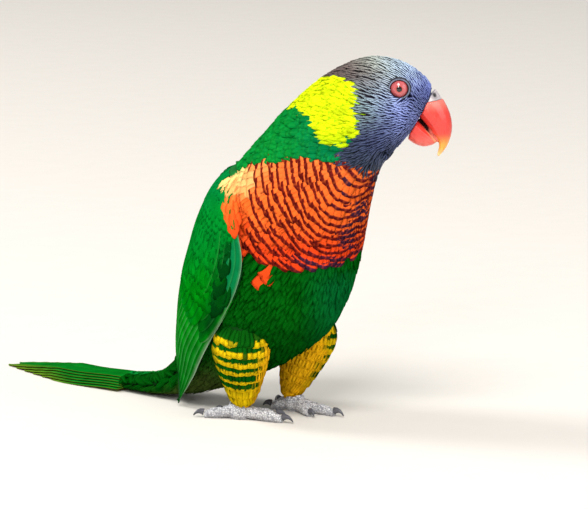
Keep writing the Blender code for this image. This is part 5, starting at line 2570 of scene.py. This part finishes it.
@dataclass
class Eye:
    """One eye: a glossy ball with its iris and pupil, in a ring of bare wrinkled skin."""

    word: str
    head: HeadFrame
    radius: float = 4.4
    iris: float = 3.3
    pupil: float = 1.05
    bulge: float = 0.3
    ring_inner: float = 3.35
    ring_outer: float = 4.0
    front: float = 1.5  # radians from the axis
    turns: int = 120
    steps: int = 60

    def build(self, finishes: dict) -> list:
        """Make the ball and its ring of lids.

        Args:
            finishes: The materials by name.

        Returns:
            The two finished pieces.
        """
        angles = np.linspace(0, 2 * math.pi, self.turns, endpoint=False)
        return [
            dress(self._ball(angles), finishes["eye"], "eye", [f"eye_{self.word}"]),
            dress(self._lids(angles), finishes["lid"], "cere"),
        ]

    def _ring(self, angles: Array, reach: float | Array, rise: float | Array) -> Array:
        """A ring of corners round the eye's axis, so far out from it and so far along it.

        Args:
            angles: The turn of each corner round the axis.
            reach: How far out each corner is, in millimetres.
            rise: How far along the axis each corner is, in millimetres.

        Returns:
            The corners' places, in metres.
        """
        side = SIDES[self.word]
        forward, left, up = self.head.axes
        way = forward * np.cos(angles)[:, None] + up * np.sin(angles)[:, None]
        reach, rise = (np.broadcast_to(far, len(angles))[:, None] for far in (reach, rise))
        return self.head.eye(side) + (left * side * rise + way * reach) * MM

    def _turned(self, name: str, rings: list, tones: list, faces: list) -> Piece:
        """A closed piece from its rings of corners and their tones.

        Args:
            name: The piece's name.
            rings: The corners, ring by ring.
            tones: The colours, ring by ring.
            faces: The faces.

        Returns:
            The piece, not yet dressed.
        """
        made = mesh_object(name, np.vstack(rings), faces)
        turn_outward(made)
        set_colours(made.data, "tone", np.vstack(tones))
        return made

    def _ball(self, angles: Array) -> Piece:
        """The eyeball, with a corneal bulge over the iris.

        Args:
            angles: The turn of each corner round the axis.

        Returns:
            The piece, not yet dressed.
        """
        rays = np.random.default_rng(SEED).uniform(-1, 1, self.turns)
        rings, tones = [self._ring(angles, 0.0, self.radius + self.bulge)[:1]], [Tone.PUPIL.linear[None]]
        for tilt in np.radians(np.linspace(0, 150, self.steps)[1:]):
            across, rise = self.radius * math.sin(tilt), self.radius * math.cos(tilt)
            if tilt < self.front:
                rise += self.bulge * max(0.0, 1 - (across / self.iris) ** 2)
            rings.append(self._ring(angles, across, rise))
            tones.append(self._tone(across if tilt < self.front else 2 * self.radius, rays))
        count = self.turns
        faces = [(0, 1 + i, 1 + (i + 1) % count) for i in range(count)]
        faces += tube_faces(self.steps - 1, count, 1)
        faces.append(tuple(1 + (self.steps - 2) * count + i for i in range(count)))
        return self._turned(f"eyeball_{self.word}", rings, tones, faces)

    def _tone(self, across: float, rays: Array) -> Array:
        """The eye's colours at a distance from its middle, one for each ray of the iris.

        Args:
            across: The distance from the middle, in millimetres.
            rays: How much each ray is lighter or darker, from -1 to 1.

        Returns:
            One colour for each ray.
        """
        share = (across - self.pupil) / (self.iris - self.pupil)
        if share < 0 or share > 1.02:
            return np.tile(Tone.PUPIL.linear if share < 0 else Tone.LID_DARK.linear * 0.5, (len(rays), 1))
        tone = blend(Tone.IRIS_INNER, Tone.IRIS, eased(0, 0.25, share))
        tone = blend(tone, Tone.IRIS_EDGE, eased(0.8, 1, share))
        return np.clip(tone * (1 + 0.16 * rays[:, None] * math.sin(share * 9)), 0, 1)

    def _lids(self, angles: Array) -> Piece:
        """The ring of bare skin, with small pleats that run out from the rim.

        Args:
            angles: The turn of each corner round the axis.

        Returns:
            The piece, not yet dressed.
        """
        profile = (
            (self.ring_inner + 0.25, self.radius * 0.52, 0.0),
            (self.ring_inner, 3.05, 0.1),
            (self.ring_inner + 0.12, 3.55, 0.2),
            (self.ring_inner + 0.3, 3.72, 0.6),
            (self.ring_inner + 0.5, 3.6, 1.0),
            (self.ring_inner + 0.7, 3.62, 0.8),
            (self.ring_outer, 3.2, 0.6),
            (self.ring_outer + 0.5, 2.2, 0.0),
        )
        rings, tones = [], []
        for index, (reach, rise, pleat) in enumerate(profile):
            fold = pleat * (0.07 * np.sin(angles * 24) + 0.05 * np.sin(angles * 41 + index * 1.3))
            rings.append(self._ring(angles, reach * (1 + 0.03 * np.cos(2 * angles)), rise + fold))
            # Painted shade: the lid darkens along its pleats' furrows; its innermost and outermost rings are
            # dark.
            furrow_shade = 0.35 * (0.5 + 0.5 * np.sin(angles * 24 + index))
            dark = furrow_shade if 2 < index < 6 else np.full(self.turns, 0.9)
            tones.append(blend(Tone.LID, Tone.LID_DARK, dark))
        faces = tube_faces(len(profile), self.turns, 0, True)
        return self._turned(f"eye_ring_{self.word}", rings, tones, faces)


def tube_faces(rings: int, count: int, first: int, closed: bool = False) -> list:
    """Faces that join each ring of corners to the next.

    Args:
        rings: How many rings there are.
        count: How many corners a ring has.
        first: The number of the first ring's first corner.
        closed: Whether the last ring joins the first.

    Returns:
        The faces.
    """
    faces = []
    for ring in range(rings if closed else rings - 1):
        low, high = first + ring * count, first + (ring + 1) % rings * count
        for i in range(count):
            j = (i + 1) % count
            faces.append((low + i, high + i, high + j, low + j))
    return faces


@dataclass
class Foot:
    """One foot: its scaled skin in one piece, and its four claws."""

    word: str
    cell: float = 0.26
    claw_cell: float = 0.14
    cells: float = 1150.0
    height: float = 0.16

    def build(self, scales: Recipe, finishes: dict) -> list:
        """Make the foot's skin and its claws.

        Args:
            scales: The tree that raises the scales.
            finishes: The materials by name.

        Returns:
            The skin and the claws.
        """
        nodes = [f"shank_{self.word}"] + [f"toe_{number}_{self.word}" for number in range(1, 5)]
        made = remeshed(f"foot_skin_{self.word}", nodes, self.cell, 4)
        values = {"Finish": finishes["foot"], "Cells": self.cells, "Height": self.height * MM}
        made = scales.apply(made, values)
        up = self._stand(made)
        tone = blend(Tone.FOOT, Tone.FOOT_PALE, eased(2.5, 5, up))
        # Painted shade: the foot darkens in its lowest 3 mm, toward the floor.
        set_colours(made.data, "tone", blend(tone, Tone.FOOT_DARK, eased(3, 0.6, up) * 0.5))
        skin = dress(made, finishes["foot"], "foot_skin", nodes)
        nodes = [f"claw_{number}_{self.word}" for number in range(1, 5)]
        made = remeshed(f"claw_horn_{self.word}", nodes, self.claw_cell, 4)
        up = self._stand(made)
        set_colours(made.data, "tone", blend(Tone.CLAW, Tone.CLAW_PALE, eased(0.6, 2.6, up) * 0.5))
        return [skin, dress(made, finishes["claw"], "claw", nodes)]

    @staticmethod
    def _stand(made: Piece) -> Array:
        """Keep a piece's corners above the floor, and give their heights in millimetres.

        Args:
            made: The piece.

        Returns:
            One height for each corner.
        """
        places = read_corners(made.data)
        places[:, 2] = np.maximum(places[:, 2], 0.0)
        move_corners(made.data, places)
        return places[:, 2] / MM


# ---------------------------------------------------------------- studio


@dataclass
class Studio:
    """The floor, the soft lights and the camera.

    The camera's distance, the floor's half side, its depth below zero and each light's place and
    width are in metres. After its width, a light has its power in watts and its colour.
    """

    target: tuple = (0.0, -51.6, 75.0)
    shift: tuple = (1.56, -9.75)
    distance: float = 1.5
    turn: float = -45.0
    tilt: float = 9.0
    span: float = 229.3
    floor_half: float = 40.0
    floor_down: float = 0.00002
    air: float = 0.7
    lights: tuple = (
        ("key", (-1.65, -1.2, 2.5), 1.5, 84.0, (1.0, 0.98, 0.95)),
        ("fill", (0.8, -2.9, 1.1), 2.2, 22.0, (0.95, 0.97, 1.0)),
        ("rim", (-1.2, 2.4, 1.8), 1.3, 62.0, (1.0, 0.99, 0.96)),
        ("spark", (-1.5, -1.16, 0.92), 0.42, 9.0, (1.0, 1.0, 1.0)),
    )

    def build(self, material: Material) -> None:
        """Make the floor, the lights, the air and the camera.

        Args:
            material: The floor's material.
        """
        size, low = self.floor_half, -self.floor_down
        corners = [(-size, -size, low), (size, -size, low), (size, size, low), (-size, size, low)]
        floor = mesh_object("floor", np.array(corners), [(0, 1, 2, 3)], False)
        floor.data.materials.append(material)
        aim = Vector(self.target) * MM
        for name, place, wide, power, tint in self.lights:
            lamp = bpy.data.lights.new(name, "AREA")
            lamp.shape, lamp.size, lamp.energy, lamp.color = "DISK", wide, power, tint
            made = bpy.data.objects.new(name, lamp)
            made.location = Vector(place)
            made.rotation_euler = (aim - made.location).to_track_quat("-Z", "Y").to_euler()
            bpy.context.scene.collection.objects.link(made)
        world = bpy.data.worlds.new("air")
        world.use_nodes = True
        glow = world.node_tree.nodes["Background"].inputs
        glow["Color"].default_value = Tone.WALL.rgba
        glow["Strength"].default_value = self.air
        bpy.context.scene.world = world
        bpy.context.scene.view_settings.view_transform = "Standard"
        self._camera()

    def _camera(self) -> None:
        """Place the camera in front of the bird's right side, a little above it."""
        turn, tilt = math.radians(self.turn), math.radians(self.tilt)
        right = Vector((math.cos(turn), math.sin(turn), 0.0))
        away = Vector((math.sin(turn) * math.cos(tilt), -math.cos(turn) * math.cos(tilt), math.sin(tilt)))
        upward = away.cross(right)
        aim = Vector(self.target) * MM + (right * self.shift[0] + upward * self.shift[1]) * MM
        lens = bpy.data.cameras.new("camera")
        lens.sensor_width = 36.0
        lens.lens = lens.sensor_width * self.distance / (self.span * MM)
        lens.clip_start = 0.05
        made = bpy.data.objects.new("camera", lens)
        made.location = aim + away * self.distance
        made.rotation_euler = away.to_track_quat("Z", "Y").to_euler()
        bpy.context.scene.collection.objects.link(made)
        bpy.context.scene.camera = made


# ---------------------------------------------------------------- the whole bird


def make_finishes() -> dict:
    """Every finish as a material, by its name.

    Returns:
        The materials by name.
    """
    finishes = (
        PlumageFinish(
            "plumage_fine", 0.5, 0.12, barbs=34.0, slant=9.0, barb_shade=0.2, shaft_half=0.36, relief=0.03
        ),
        PlumageFinish("plumage_soft", 0.6, 0.0, ragged=0.09),
        PlumageFinish("plumage_satin", 0.45, 0.0, barbs=60.0, barb_shade=0.14, relief=0.01),
        PlumageFinish(
            "quill", 0.42, 0.0, barbs=420.0, slant=30.0, barb_shade=0.22, shaft_half=0.05, relief=0.02
        ),
        ToneFinish("skin", 0.7, 0.08),
        ToneFinish("web", 0.6, 0.04),
        ToneFinish(
            "horn", 0.28, 0.5, coat=0.25, under_skin=0.15, grain=500.0, mottle=0.1, relief=0.03,
            stretch=(1.0, 1.0, 0.35),
        ),
        ToneFinish("cere", 0.55, 0.4, grain=1800.0, mottle=0.15, relief=0.05),
        ToneFinish("eye", 0.05, 0.4, coat=0.8, grain=2600.0, mottle=0.12, relief=0.0),
        ToneFinish("lid", 0.6, 0.3, grain=2600.0, mottle=0.2, relief=0.08),
        ToneFinish("foot", 0.62, 0.35, grain=2200.0, mottle=0.12, relief=0.05, cells=1150.0),
        ToneFinish("claw", 0.35, 0.5, grain=900.0, mottle=0.2, relief=0.03),
        PlainFinish("floor", 0.8, 0.2, tone=Tone.FLOOR),
    )
    return {finish.name: finish.make() for finish in finishes}


def main() -> None:
    """Build the bird in order."""
    logging.basicConfig(level=logging.INFO, format="%(message)s")
    finishes = make_finishes()
    head = HeadFrame()
    elevation = Elevation(head)
    markings = Markings()
    body = BodyMap(Spine(), head, elevation)
    vanes = [vane.build() for vane in VANES]
    recipe, scales = coat_recipe(vanes), scale_recipe()
    BodyPlumage(body, markings).build(recipe, finishes)
    trunk = tree_of(BODY_NODES)
    for word in SIDES:
        Thigh(word).build(recipe, finishes["plumage_soft"], trunk)
        Wing(word, elevation, markings).build(recipe, finishes)
        Eye(word, head).build(finishes)
        Foot(word).build(scales, finishes)
    Skin(body, markings).build(finishes["skin"])
    Tail().build(finishes["quill"])
    Bill(head).build(finishes)
    for vane in vanes:
        bpy.data.objects.remove(vane)
    Studio().build(finishes["floor"])


if __name__ == "__main__":
    main()
